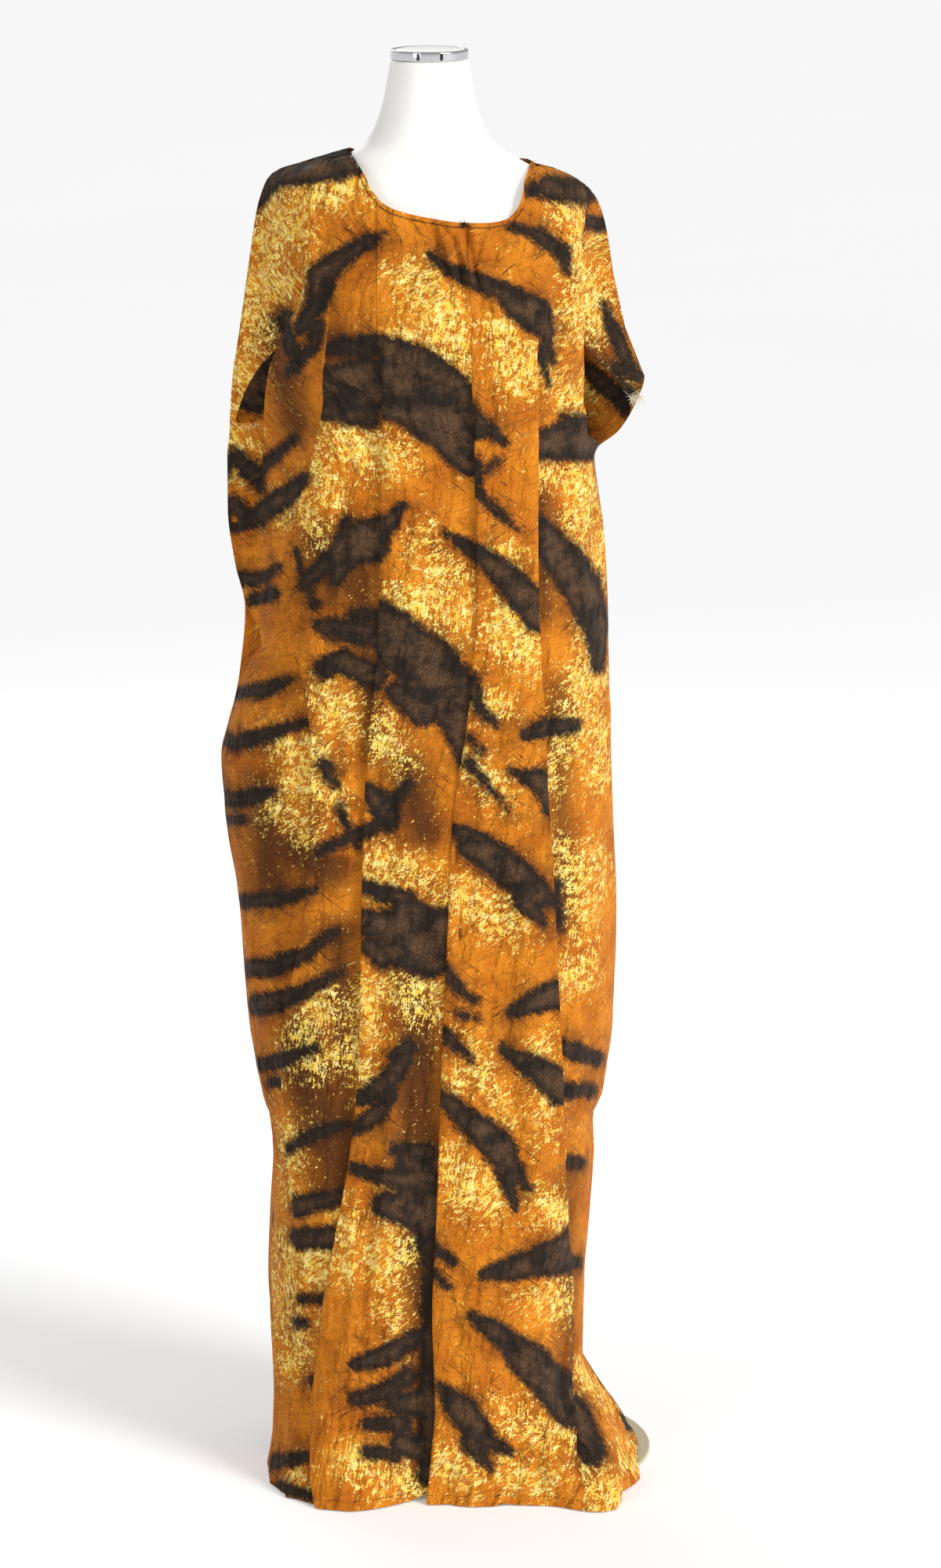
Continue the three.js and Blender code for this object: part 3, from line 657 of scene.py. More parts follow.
def wave_depth(panel, x, z):
    """Depth of the soft troughs and swells."""
    total = np.zeros_like(x)
    for w in panel.waves:
        t = (z - w["z_low"]) / (w["z_high"] - w["z_low"])
        middle = lerp(w["x_low"], w["x_high"], t)
        up = smooth(w["z_low"] - w["fade"] / 2, w["z_low"] + w["fade"] / 2, z)
        down = 1 - smooth(w["z_high"] - w["fade"] / 2, w["z_high"] + w["fade"] / 2, z)
        total = total + w["depth"] * up * down * bell((x - middle) / w["width"])
    return total


def calm_wave(panel, plain, runs, run, z):
    """The same depth along a row, kept even across the laid folds."""
    x_at = lambda r: np.interp(r, plain[2], plain[0])
    depth = wave_depth(panel, x_at(run), z)
    for fold, line in zip(panel.folds, runs):
        start = line - fold["lap"] if fold["over"] == "left" else line
        end = start + fold["lap"]
        level = smooth(start - CALM, start, run) * (1 - smooth(end, end + CALM, run))
        share = level * lifted(laid(fold, z))
        flat = wave_depth(panel, x_at(np.array([(start + end) / 2])), z)[0]
        depth = lerp(depth, flat, share)
    return depth


def charted(x, y, z):
    """Where a point, in millimetres, lies in the front view's chart."""
    side, ahead, up = x * MM - CAMERA_AT[0], y * MM - CAMERA_AT[1], z * MM - CAMERA_AT[2]
    away = ahead * math.cos(CAMERA_PITCH) - up * math.sin(CAMERA_PITCH)
    rise = ahead * math.sin(CAMERA_PITCH) + up * math.cos(CAMERA_PITCH)
    return CHART_MIDDLE[0] + CHART_SCALE * side / away, CHART_MIDDLE[1] - CHART_SCALE * rise / away


def chart_ray(px, py):
    """The camera's ray through a point of the chart."""
    side = (px - CHART_MIDDLE[0]) / CHART_SCALE
    rise = (CHART_MIDDLE[1] - py) / CHART_SCALE
    ahead = math.cos(CAMERA_PITCH) + rise * math.sin(CAMERA_PITCH)
    up = -math.sin(CAMERA_PITCH) + rise * math.cos(CAMERA_PITCH)
    return Vector(CAMERA_AT), Vector((side, ahead, up)).normalized()


def noise_field(seed, cells_u, cells_v):
    """Smooth random values over the cloth, as a function of two coordinates counted in cells."""
    values = np.random.default_rng(seed).uniform(-1, 1, (cells_u, cells_v))

    def at(u, v):
        iu, iv = np.floor(u).astype(int), np.floor(v).astype(int)
        fu, fv = u - iu, v - iv
        fu, fv = fu * fu * (3 - 2 * fu), fv * fv * (3 - 2 * fv)
        get = lambda a, b: values[a % cells_u, b % cells_v]
        low = get(iu, iv) * (1 - fu) + get(iu + 1, iv) * fu
        high = get(iu, iv + 1) * (1 - fu) + get(iu + 1, iv + 1) * fu
        return low * (1 - fv) + high * fv

    return at


def along_and_away(px, py, start, end, reach=0.0):
    """How far along a line each point lies, from 0 to 1 and a reach beyond, and how far away from it."""
    (x0, y0), (x1, y1) = start, end
    dx, dy = x1 - x0, y1 - y0
    t = np.clip(((px - x0) * dx + (py - y0) * dy) / (dx * dx + dy * dy), -reach, 1 + reach)
    return t, np.hypot(px - x0 - t * dx, py - y0 - t * dy)


def crease_depth(x, y, z):
    """Depth of the listed creases at points of the front view."""
    px, py = charted(x, y, z)
    total = np.zeros_like(px)
    for c in CREASE_ROWS:
        t, away = along_and_away(px, py, (c["x0"], c["y0"]), (c["x1"], c["y1"]), CREASE_END)
        ends = smooth(-CREASE_END, 0.2, t) * (1 - smooth(0.8, 1 + CREASE_END, t))
        total += c["depth"] * ends * bell(away / c["width"])
    return total


def rumple(panel, u, z):
    """Uneven soft rumples of the worn-in cloth, longer down the cloth than across it."""
    lean = u + RUMPLE_LEAN * z
    return sum(
        height * noise_field(seed + panel.front, cells_u, cells_v)(lean / across, z / down)
        for seed, cells_u, cells_v, height, across, down in RUMPLES
    )


def spread_x(x, run, anchor):
    """X along a row, made to grow on where the cloth turns away, so that a print isn't smeared there."""
    across, along = np.diff(x), np.diff(run)
    grown = np.where(along > 0, np.maximum(across, SIDE_GROWTH * along), across)
    total = running(grown)
    return x[anchor] + total - total[anchor]


def between(values, panel):
    """Values of the coarse columns, blended over the fine ones."""
    part = panel.part if values.ndim == 1 else panel.part[:, None]
    return values[panel.base] * (1 - part) + values[panel.base + 1] * part


def position_field(panel):
    """Points, chart X and flat X of every fine column at a fine ladder of heights."""
    heights = np.linspace(0.2, NECK_POINT - 0.4, LADDER_ROWS)
    count = len(panel.base)
    points = np.zeros((LADDER_ROWS, count, 2))
    chart, wanted, edge_x, flat = (np.zeros((LADDER_ROWS, count)) for _ in range(4))
    off_centre = 0.001 * np.abs(np.arange(count) - count / 2)
    anchor = int(np.argmin(np.abs(panel.zone - (4 if panel.front else 2)) + off_centre))
    is_arm = np.array([panel.columns[i][:2] == ("fold", panel.arm) for i in panel.base])
    for k, z in enumerate(heights):
        plain = plain_section(panel, z)
        x, y, run_of = plain
        length = run_of[-1]
        runs = line_runs(panel, plain, z)
        fine = between(coarse_path(panel, plain, runs, z), panel)
        for _ in range(2):
            fine[1:-1] = 0.25 * fine[:-2] + 0.5 * fine[1:-1] + 0.25 * fine[2:]
        run = np.clip(fine[:, 0], 0, length)
        from_end = np.minimum(run, length - run)
        room = smooth(0, EDGE_FADE, from_end)
        base_x, base_y = np.interp(run, run_of, x), np.interp(run, run_of, y)
        depth = fine[:, 1] * np.where(is_arm, 1, room)
        depth += calm_wave(panel, plain, runs, run, z) * room
        detail = rumple(panel, run + ZONE_OFFSET * panel.zone, z)
        if panel.front:
            detail = detail + CREASE_GAIN * crease_depth(base_x, base_y, z)
        depth += detail * smooth(0, DETAIL_FADE, from_end)
        slopes = (np.pad(np.gradient(v, run_of), 4, mode="edge") for v in (x, y))
        tx, ty = (np.interp(run, run_of, np.convolve(slope, KERNEL, mode="valid")) for slope in slopes)
        size = np.hypot(tx, ty)
        points[k, :, 0] = base_x - ty / size * depth * panel.inward
        points[k, :, 1] = base_y + tx / size * depth * panel.inward + panel.shift
        chart[k] = spread_x(base_x, run, anchor)
        wanted[k] = between(np.array([wanted_x(panel, column, z) for column in panel.columns]), panel)
        edge_x[k] = np.where(from_end <= 0.01, wanted[k], base_x)
        steps = running(np.hypot(*np.diff(points[k], axis=0).T))
        flat[k] = steps - steps[anchor]
    return heights, points, chart, wanted, edge_x, flat


def column_tops(panel, heights, edge_x):
    """The height at which each fine column meets the panel's top edge."""
    tops = np.full(edge_x.shape[1], float(NECK_POINT) - 0.5)
    first = np.searchsorted(heights, CORNER_LEFT - 60)
    edge = panel.top_edge(edge_x[first:].ravel()).reshape(edge_x[first:].shape)
    over = heights[first:, None] - edge
    for c in range(edge_x.shape[1]):
        hits = np.nonzero(over[:, c] >= 0)[0]
        if len(hits):
            k = hits[0]
            if k == 0:
                tops[c] = heights[first]
            else:
                a, b = over[k - 1, c], over[k, c]
                tops[c] = lerp(heights[first + k - 1], heights[first + k], -a / (b - a))
    return tops


def right_mouth(x):
    return np.minimum(MOUTH_RIGHT["inner"], MOUTH_RIGHT["z"] - (x - MOUTH_RIGHT["x"]) * MOUTH_RIGHT["fall"])


def left_mouth(x):
    t = np.clip((x - MOUTH_LEFT["x_outer"]) / (MOUTH_LEFT["x_inner"] - MOUTH_LEFT["x_outer"]), 0, 1)
    return lerp(MOUTH_LEFT["z_outer"], MOUTH_LEFT["z_inner"], t)


def hem_height(x, y):
    return lerp(HEM_PLATE, HEM_FLOOR, smooth(*HEM_RAMP, np.hypot(x - PLATE_X, y)))


def row_levels(stops):
    """Heights of the rows, evenly spaced from stop to stop."""
    rows = []
    for low, high in zip(stops[:-1], stops[1:]):
        count = max(1, round((high - low) / ROW))
        rows += list(low + (high - low) * np.arange(count) / count)
    return np.array(rows + [stops[-1]])


def cloth_grid(panel):
    """A panel's vertices as rows and columns, the faces between them, and what the print needs."""
    heights, points, chart, wanted, edge_x, flat = position_field(panel)
    count = wanted.shape[1]
    columns = np.arange(count)
    tops = column_tops(panel, heights, edge_x)
    left, right = MOUTH_LEFT, MOUTH_RIGHT
    stops = [HEM_FLOOR, left["z_low"], left["z_inner"], right["inner"], left["reach"], NECK_POINT]
    levels = row_levels(stops)
    low, high, inner, reach = (int(np.argmin(np.abs(levels - stop))) for stop in stops[1:5])

    def sample(field, c, z):
        k = np.clip((z - heights[0]) / (heights[1] - heights[0]), 0, len(heights) - 1.001)
        i = k.astype(int)
        t = k - i
        below, above = field[i, c], field[i + 1, c]
        return below + (above - below) * (t[..., None] if below.ndim > t.ndim else t)

    def across(field, height):
        return sample(field, columns, np.full(count, float(height)))

    foot = across(points, 1)
    bottom = hem_height(foot[:, 0], foot[:, 1])
    z = np.repeat(levels[:, None], count, axis=1)
    hem_rows = levels < stops[1]
    share = (levels[hem_rows] - stops[0]) / (stops[1] - stops[0])
    z[hem_rows] = bottom[None] + share[:, None] * (stops[1] - bottom[None])
    arm_tip = count
    inside = np.zeros(count, bool)
    if panel.front:
        named = [panel.columns[i] for i in panel.base]
        # Right sleeve: its rows start at its open lower edge
        arm_tip = max(i for i in range(count) if named[i] == ("fold", panel.arm, 0)) + 1
        sleeve = columns > arm_tip
        mouth = right_mouth(across(wanted, right["z"]))[sleeve]
        for r in range(inner):
            z[r, sleeve] = lerp(mouth, right["inner"], max(r - low, 0) / (inner - low))
        # Left sleeve: its rows bend to the edges of its opening
        x_here = across(points, left["z_inner"])[:, 0]
        inside = (x_here > left["x_outer"]) & (columns <= named.index(("fold", 0, 0)))
        edge = left_mouth(x_here)
        for r in range(high, reach):
            part = (left["reach"] - levels[r]) / (left["reach"] - left["z_inner"])
            z[r, inside] = levels[r] - part * (left["z_inner"] - edge[inside])
        first_inside = int(np.nonzero(inside)[0][0])
        for r in range(low + 1, high):
            z[r, first_inside] = lerp(left["z_low"], edge[first_inside], (r - low) / (high - low))
    z = np.minimum(z, tops[None])
    ids = np.arange(z.size).reshape(z.shape)
    for r in range(1, len(levels)):
        same = np.abs(z[r] - z[r - 1]) < 1e-6
        ids[r, same] = ids[r - 1, same]
    faces = []
    for r in range(len(levels) - 1):
        for c in range(count - 1):
            in_left_mouth = inside[c] and inside[c + 1] and low <= r < high
            if in_left_mouth or c == arm_tip and levels[r] < right["inner"] - 1:
                continue
            quad = [ids[r, c], ids[r, c + 1], ids[r + 1, c + 1], ids[r + 1, c]]
            loop = [q for i, q in enumerate(quad) if q != quad[i - 1]]
            if len(loop) >= 3:
                faces.append(loop)
    every = np.repeat(columns[None], len(levels), axis=0)
    grid = {name: sample(field, every, z) for name, field in (("chart", chart), ("flat", flat))}
    xyz = np.concatenate([sample(points, every, z), z[..., None]], axis=2)
    return dict(grid, z=z, xyz=xyz, bottom=bottom, arm_tip=arm_tip, faces=faces)


# Strokes of the print: the zones that they are printed on, and chains of points with their radii. The wide
# stroke from 800 540 darkens the back panel inside the left sleeve's opening, and the last four strokes run
# down the trough left of the centre fold: both are partly painted shadow.
INK = """zones x y r > x y r
z012 328 258 7 > 350 226 11 > 410 213 17 > 452 204 18
z56 680 242 9 > 706 238 14 > 746 246 14
z6 752 284 8 > 770 286 6
z0123 490 299 2 > 465 309 8 > 430 333 12 > 410 352 18 > 402 386 12 > 384 416 8
z0123 355 405 10 > 368 440 9 > 382 462 4
z0123 402 415 9 > 398 440 7 > 366 474 4
z45 654 289 3 > 690 300 8 > 716 320 9
z45 716 320 8 > 724 346 2
z345 548 325 2 > 575 345 7 > 640 372 12 > 682 402 22
z45 682 402 20 > 700 424 12
z45 700 424 10 > 712 462 2
z5 690 440 5 > 706 490 1
z23 416 447 6 > 440 441 10 > 484 440 12
z3 484 440 12 > 530 464 24 > 580 502 25
z3 580 502 22 > 604 532 16
z23 420 492 24 > 470 490 34
z3 470 490 34 > 530 505 40
z23 415 524 10 > 470 534 12
z3 530 508 38 > 572 548 30 > 603 584 22
z4 600 527 12 > 645 564 3
z4 600 548 11 > 622 555 4
z4 603 592 10 > 610 618 3
z4 606 626 5 > 640 656 4 > 664 676 1
z4 622 600 3 > 640 584 1
z5 688 566 18 > 748 563 24
z5 730 537 8 > 748 545 12
z012 366 560 3 > 330 598 7
z012 386 610 8 > 350 636 11 > 322 660 11
z012 322 660 10 > 305 672 5
z01 295 578 6 > 320 608 11 > 328 622 5
z01 298 640 8 > 316 664 8
z23 440 662 4 > 446 690 22 > 470 690 27
z23 470 690 25 > 480 672 14
z3 484 676 13 > 516 645 3
z23 440 706 20 > 426 738 8
z23 420 716 13 > 385 746 6
z012 376 700 2 > 400 770 5
z23 450 782 5 > 478 785 6
z34 565 678 2 > 595 695 8 > 640 730 14
z34 640 730 16 > 690 782 22
z5 690 662 4 > 706 690 18
z5 706 690 20 > 745 745 25 > 768 795 20 > 770 850 7
z012 298 740 9 > 330 738 7 > 348 725 3
z012 312 766 5 > 345 756 7
z23 412 800 11 > 440 805 13 > 484 812 15
z23 415 852 12 > 440 842 13
z23 440 845 13 > 478 862 15
z3 484 780 15 > 500 806 20
z3 500 812 32 > 540 846 38 > 572 880 36
z3 572 880 30 > 590 930 24
z3 590 930 22 > 592 968 8
z3 505 882 12 > 540 905 20
z4 600 872 11 > 612 905 5 > 634 924 2
z4 598 940 4 > 614 957 2
z4 598 974 6 > 618 998 3 > 648 1032 1
z4 652 985 4 > 690 996 13
z4 690 1000 14 > 704 1032 8
z45 672 936 6 > 700 926 11 > 738 925 6
z01 296 886 5 > 330 880 9
z012 330 880 9 > 366 866 3
z01 292 950 7 > 330 938 9
z012 330 938 9 > 384 922 4
z01 288 1020 6 > 315 1018 9
z012 315 1018 9 > 346 1008 3
z01 288 1046 6 > 312 1046 4
z2 414 976 7 > 425 1000 5
z2 430 1030 2 > 455 1080 3
z23 404 1086 3 > 460 1062 8
z3 460 1062 8 > 500 1044 6
z3 472 1010 10 > 490 1030 19
z3 490 1030 18 > 496 1050 10
z3 498 1030 8 > 522 1000 4
z4 578 1056 4 > 602 1076 18 > 650 1110 21 > 685 1140 16
z4 685 1138 12 > 706 1150 6
z4 668 1148 13 > 690 1176 5
z5 713 1130 6 > 717 1186 2
z012 305 1150 7 > 350 1147 8 > 402 1135 3
z01 312 1236 9 > 350 1232 11
z012 350 1232 11 > 392 1215 7 > 424 1188 3
z01 318 1282 11 > 350 1278 13
z012 350 1278 13 > 382 1267 9 > 432 1240 3
z3 464 1132 9 > 490 1140 10 > 522 1146 8
z3 466 1178 15 > 500 1180 17
z3 520 1166 20 > 556 1188 28
z3 512 1200 32 > 548 1214 30
z3 470 1206 10 > 486 1222 12
z4 566 1240 8 > 585 1262 5 > 607 1276 2
z4 588 1296 4 > 610 1300 2
z4 654 1291 6 > 680 1279 12
z4 680 1278 13 > 712 1268 18
z3 500 1346 5 > 520 1336 9
z3 458 1402 9 > 490 1386 15
z3 490 1386 14 > 516 1350 8
z3 450 1440 7 > 480 1421 11 > 500 1398 6
z4 643 1338 5 > 680 1361 14 > 718 1386 22
z5 718 1334 8 > 740 1343 10 > 770 1350 7
z5 716 1390 9 > 764 1392 7
z5 722 1480 8 > 748 1484 6
z4 563 1398 7 > 600 1430 15 > 640 1466 21
z4 640 1468 16 > 676 1516 3
z4 644 1490 12 > 660 1542 3
z4 563 1318 7 > 585 1335 5 > 602 1352 2
z01 328 1358 8 > 360 1353 7
z012 360 1353 7 > 402 1336 2
z01 340 1381 5 > 354 1379 4
z12 360 1470 3 > 396 1450 6 > 442 1432 3
z0 343 1498 5 > 356 1512 4
z12 376 1540 12 > 410 1532 10 > 442 1524 7
z12 376 1580 12 > 424 1578 13
z0 343 1554 7 > 370 1572 8
z0 343 1640 5 > 366 1656 5
z2 443 1524 7 > 490 1536 14
z3 490 1536 14 > 524 1546 20
z23 450 1490 5 > 482 1502 8
z3 500 1466 6 > 545 1470 10
z3 482 1502 8 > 545 1506 14
z3 520 1530 16 > 552 1545 26
z12 375 1656 4 > 406 1658 6
z12 368 1686 5 > 380 1688 3
z4 553 1588 3 > 575 1610 6
z4 555 1625 5 > 572 1642 2
z4 618 1626 6 > 650 1620 13 > 700 1606 19
z4 700 1606 20 > 736 1592 26
z5 734 1610 8 > 750 1612 6
z4 604 1680 6 > 640 1705 13 > 680 1740 21
z4 680 1740 23 > 728 1792 27
z5 728 1800 20 > 746 1862 7
z23 454 1741 8 > 490 1731 12 > 526 1710 11
z23 454 1786 8 > 490 1776 12 > 522 1755 9
z12 390 1760 5 > 424 1754 4
z3 500 1790 10 > 550 1790 18
z23 470 1816 7 > 512 1816 12
z3 510 1840 12 > 548 1850 20
z23 470 1851 6 > 502 1856 8
z4 560 1768 5 > 590 1800 19 > 620 1836 14
z4 620 1836 10 > 652 1851 3
z4 600 1840 12 > 626 1872 3
z01 343 1866 9 > 380 1862 7
z012 380 1862 7 > 432 1852 2
z012 360 1896 6 > 402 1908 5
z6 773 388 2 > 782 415 6 > 797 454 9 > 806 470 4
z6 750 452 4 > 766 482 9 > 802 505 8
z6 790 470 8 > 815 480 6
z5 800 540 40 > 808 640 30
z3 518 1480 12 > 538 1500 16
z3 538 1500 14 > 545 1590 10
z3 546 1590 5 > 547 1700 6
z3 547 1700 9 > 546 1880 12"""

GOLD = """zones x y r > x y r
z012 360 1440 8 > 372 1530 8
z012 360 1590 10 > 366 1740 10
z12 395 1600 16 > 430 1680 12
z12 380 1320 10 > 440 1350 8
z3 505 1270 8 > 548 1290 10
z45 600 1330 6 > 640 1420 5
z45 690 1340 6 > 698 1440 5
z45 640 1800 7 > 700 1840 10
z4 580 960 10 > 640 1010 8
z3 470 1130 10 > 530 1120 10
z12 370 1000 14 > 420 1020 12
z012 346 252 12 > 430 240 12
z0123 430 236 12 > 476 234 8
z012 345 262 12 > 372 294 18
z01 332 300 14 > 342 360 20
z01 332 360 20 > 318 420 16
z12 386 330 8 > 364 400 9
z01 310 440 7 > 302 520 6
z3 540 360 16 > 562 400 22
z3 520 430 20 > 562 452 26
z3 585 440 18 > 600 482 10
z3 498 350 7 > 522 345 5
z4 640 430 20 > 668 470 32
z5 735 272 18 > 741 330 12
z5 741 340 8 > 730 420 5
z5 700 472 7 > 742 522 9
z23 414 560 10 > 462 576 24 > 502 580 18
z23 408 600 11 > 420 642 7
z5 692 606 7 > 745 612 15
z5 755 622 11 > 742 690 6 > 736 716 3
z5 772 690 6 > 768 742 5
z3 555 722 11 > 586 736 11
z3 540 690 6 > 520 702 4
z3 500 762 12 > 562 782 20
z3 590 800 10 > 598 770 6
z4 640 800 24 > 672 832 24
z4 648 700 5 > 656 716 4
z12 360 646 13 > 386 640 9
z12 402 670 6 > 416 702 4
z01 298 556 8 > 302 604 7
z5 750 872 19 > 745 902 15
z5 740 902 11 > 715 960 12
z5 715 960 9 > 705 1002 6
z5 760 800 9 > 766 862 9
z5 775 930 10 > 770 982 12
z2 418 892 19 > 442 922 14
z12 350 946 11 > 402 962 16
z12 350 1030 12 > 392 1062 9
z3 476 922 14 > 502 962 14
z3 480 1102 14 > 522 1112 12
z3 545 1122 12 > 563 1152 7
z4 585 1142 12 > 642 1172 24
z4 590 892 7 > 640 902 10
z5 725 1090 15 > 745 1132 16
z5 750 1132 10 > 748 1182 6
z5 760 1090 9 > 771 1122 8
z5 720 1252 12 > 746 1240 12
z12 402 1282 16 > 450 1290 14
z12 380 1356 9 > 432 1346 9
z23 464 1260 9 > 476 1322 10
z3 490 1262 14 > 542 1262 9
z23 452 1340 9 > 470 1392 7
z4 575 1492 18 > 616 1532 20
z4 578 1372 6 > 582 1394 6
z4 690 1532 12 > 732 1562 9
z23 432 1552 13 > 440 1622 10
z23 492 1532 10 > 516 1602 11
z23 460 1592 9 > 502 1622 9
z12 402 1682 9 > 440 1702 12
z3 500 1672 7 > 506 1712 5
z4 685 1656 9 > 736 1662 13
z4 680 1762 4 > 686 1782 3
z4 575 1862 20 > 602 1882 12
z4 655 1882 16 > 690 1892 11
z4 715 1832 7 > 720 1852 3
z5 740 1862 9 > 736 1930 7
z5 760 1752 7 > 782 1792 7
z5 800 1832 9 > 816 1872 5
z5 768 1902 11 > 760 1932 10
z012 390 1892 7 > 442 1922 9
z23 450 1862 12 > 482 1882 12
z3 510 1882 12 > 540 1912 10
z6 770 300 7 > 752 320 5
z6 758 352 14 > 764 420 12
z6 800 482 9 > 794 500 7
z6 758 540 14 > 790 548 9"""


# Where the ground of the print is browner; the first four rows, down the trough left of the centre fold,
# are painted shade
PRINT_BROWN_AND_SHADE_CHART = """zones x y r > x y r
z23 532 1300 26 > 536 1500 30
z3 535 1500 32 > 545 1660 26
z3 548 1660 22 > 548 1880 22
z3 520 1210 22 > 530 1300 22
z12 380 1330 30 > 440 1500 34
z2 430 1190 16 > 436 1420 16
z012 330 1000 16 > 345 1130 24
z012 350 1080 26 > 420 1110 22
z2 380 880 12 > 392 1080 10
z23 455 690 20 > 478 960 12
z3 520 980 22 > 540 1060 22
z23 430 440 22 > 560 540 24
z012 400 690 14 > 420 760 10
z5 690 640 16 > 700 780 10
z4 585 620 12 > 590 760 10
z4 640 1110 12 > 700 1150 14
z6 752 440 12 > 800 500 14
z012 340 420 12 > 372 540 14
z45 716 880 8 > 724 1180 8
z45 728 1500 8 > 734 1860 8"""


def strokes_of(text):
    """A chart's strokes: the zones that each is printed on, and its two ends."""
    for line in text.split("\n")[1:]:
        zones, chain = line.split(" ", 1)
        ends = [[float(v) for v in end.split()] for end in chain.split(">")]
        for start, end in zip(ends[:-1], ends[1:]):
            yield [int(d) for d in zones[1:]], start, end


def stroke_field(text, px, py, zones):
    """Signed distance, in chart units, to the nearest of a chart's tapering strokes."""
    best = np.full(px.shape, NO_PRINT)
    for on_zones, (x0, y0, r0), (x1, y1, r1) in strokes_of(text):
        t, away = along_and_away(px, py, (x0, y0), (x1, y1))
        away = away - lerp(r0, r1, t)
        best = np.where(np.isin(zones, on_zones) & (away < best), away, best)
    return best


def print_fields(panel, x, y, z, zones):
    """The dark, the yellow and the brown field of the print at points of a panel; the brown field also
    carries painted shade in a fold trough.
    """
    if panel.front:
        px, py = charted(x, y, z)
        mirrored = np.where(px > CHART_RIGHT, 2 * CHART_RIGHT - px, px)
        px = np.where(px < CHART_LEFT, 2 * CHART_LEFT - px, mirrored)
    else:
        px, py = charted(-x, 0 * y - BACK_DEPTH, z)
        px, py = px + BACK_SHIFT[0], py + BACK_SHIFT[1]
        py = np.where(py > CHART_LOW, py - BACK_WRAP, py)
        zones = np.vectorize(BACK_ZONES.get)(zones)
    return [stroke_field(chart, px, py, zones) for chart in (INK, GOLD, PRINT_BROWN_AND_SHADE_CHART)]


def neck_distance(panel, x, z):
    """Distance from the neck edge, in millimetres."""
    edge_x = np.linspace(panel.neck[0]["x"], panel.neck[-1]["x"], NECK_SEARCH["steps"])
    edge_z = panel.neck_line(edge_x)
    result = np.full(x.shape, NECK_SEARCH["far"])
    close = np.nonzero((z > NECK_SEARCH["low"]) & (np.abs(x) < NECK_SEARCH["side"]))[0]
    away = np.hypot(x[close][:, None] - edge_x[None], z[close][:, None] - edge_z[None])
    result[close] = away.min(axis=1)
    return result


def linked(name, data):
    """An object of the given data, linked into the scene."""
    obj = bpy.data.objects.new(name, data)
    bpy.context.collection.objects.link(obj)
    return obj


def mesh_object(name, verts, faces, material):
    """A smooth-shaded mesh object."""
    mesh = bpy.data.meshes.new(name)
    mesh.from_pydata(verts, [], faces)
    mesh.polygons.foreach_set("use_smooth", [True] * len(mesh.polygons))
    mesh.materials.append(material)
    mesh.update()
    return linked(name, mesh)


def cloth_object(name, panel, grid, material):
    """A panel's shell with its print fields as attributes and its cloth map in metres."""
    xyz = grid["xyz"].reshape(-1, 3) * MM
    ids = np.unique(np.concatenate([np.array(f) for f in grid["faces"]]))
    renumber = np.full(len(xyz), -1)
    renumber[ids] = np.arange(len(ids))
    faces = [[int(renumber[i]) for i in f] for f in grid["faces"]]
    if not panel.front:
        faces = [f[::-1] for f in faces]
    obj = mesh_object(name, xyz[ids].tolist(), faces, material)
    mesh = obj.data
    on_every_row = lambda values: np.repeat(values[None], grid["z"].shape[0], axis=0).ravel()[ids]
    x, z, flat = (grid[k].ravel()[ids] for k in ("chart", "z", "flat"))
    y = grid["xyz"][..., 1].ravel()[ids]
    fields = dict(zip(FIELDS, print_fields(panel, x, y, z, on_every_row(panel.zone))))
    fields["neck"] = neck_distance(panel, x, z)
    fields["foot"] = z - on_every_row(grid["bottom"])
    for key, values in fields.items():
        mesh.attributes.new(key, "FLOAT", "POINT").data.foreach_set("value", values.astype(np.float32))
    loops = np.empty(len(mesh.loops), dtype=np.int32)
    mesh.loops.foreach_get("vertex_index", loops)
    uv = np.stack([flat[loops] * MM, z[loops] * MM], axis=1).astype(np.float32)
    mesh.uv_layers.new(name="cloth").data.foreach_set("uv", uv.ravel())
    return obj


def ring_mesh(name, rings, material):
    """A mesh from a ladder of closed rings, welded where a ring is one point."""
    count = len(rings[0])
    verts = [tuple(p) for ring in rings for p in ring]
    faces = []
    for r in range(len(rings) - 1):
        for c in range(count):
            d = (c + 1) % count
            faces.append((r * count + c, r * count + d, (r + 1) * count + d, (r + 1) * count + c))
    obj = mesh_object(name, verts, faces, material)
    obj.modifiers.new("weld", "WELD").merge_threshold = WELD
    return obj


def turned(name, profile, x, material):
    """A smooth turned piece; a profile row is a radius and a height in millimetres."""
    rows = []
    for radius, z in profile:
        angles = [2 * math.pi * i / TURN_STEPS for i in range(TURN_STEPS)]
        rows.append([((x + radius * math.cos(a)) * MM, radius * math.sin(a) * MM, z * MM) for a in angles])
    return ring_mesh(name, rows, material)


def rounded(profile, radius):
    """A profile whose inner corners are rounded."""
    out = [profile[0]]
    for before, corner, after in zip(profile[:-2], profile[1:-1], profile[2:]):
        a, b, c = np.array(before, float), np.array(corner, float), np.array(after, float)
        la, lc = np.linalg.norm(a - b), np.linalg.norm(c - b)
        cut = min(radius, la * 0.45, lc * 0.45)
        start, end = b + (a - b) / la * cut, b + (c - b) / lc * cut
        for i in range(ROUND_STEPS + 1):
            t = i / ROUND_STEPS
            out.append(tuple(start * (1 - t) ** 2 + 2 * b * t * (1 - t) + end * t * t))
    out.append(profile[-1])
    return out


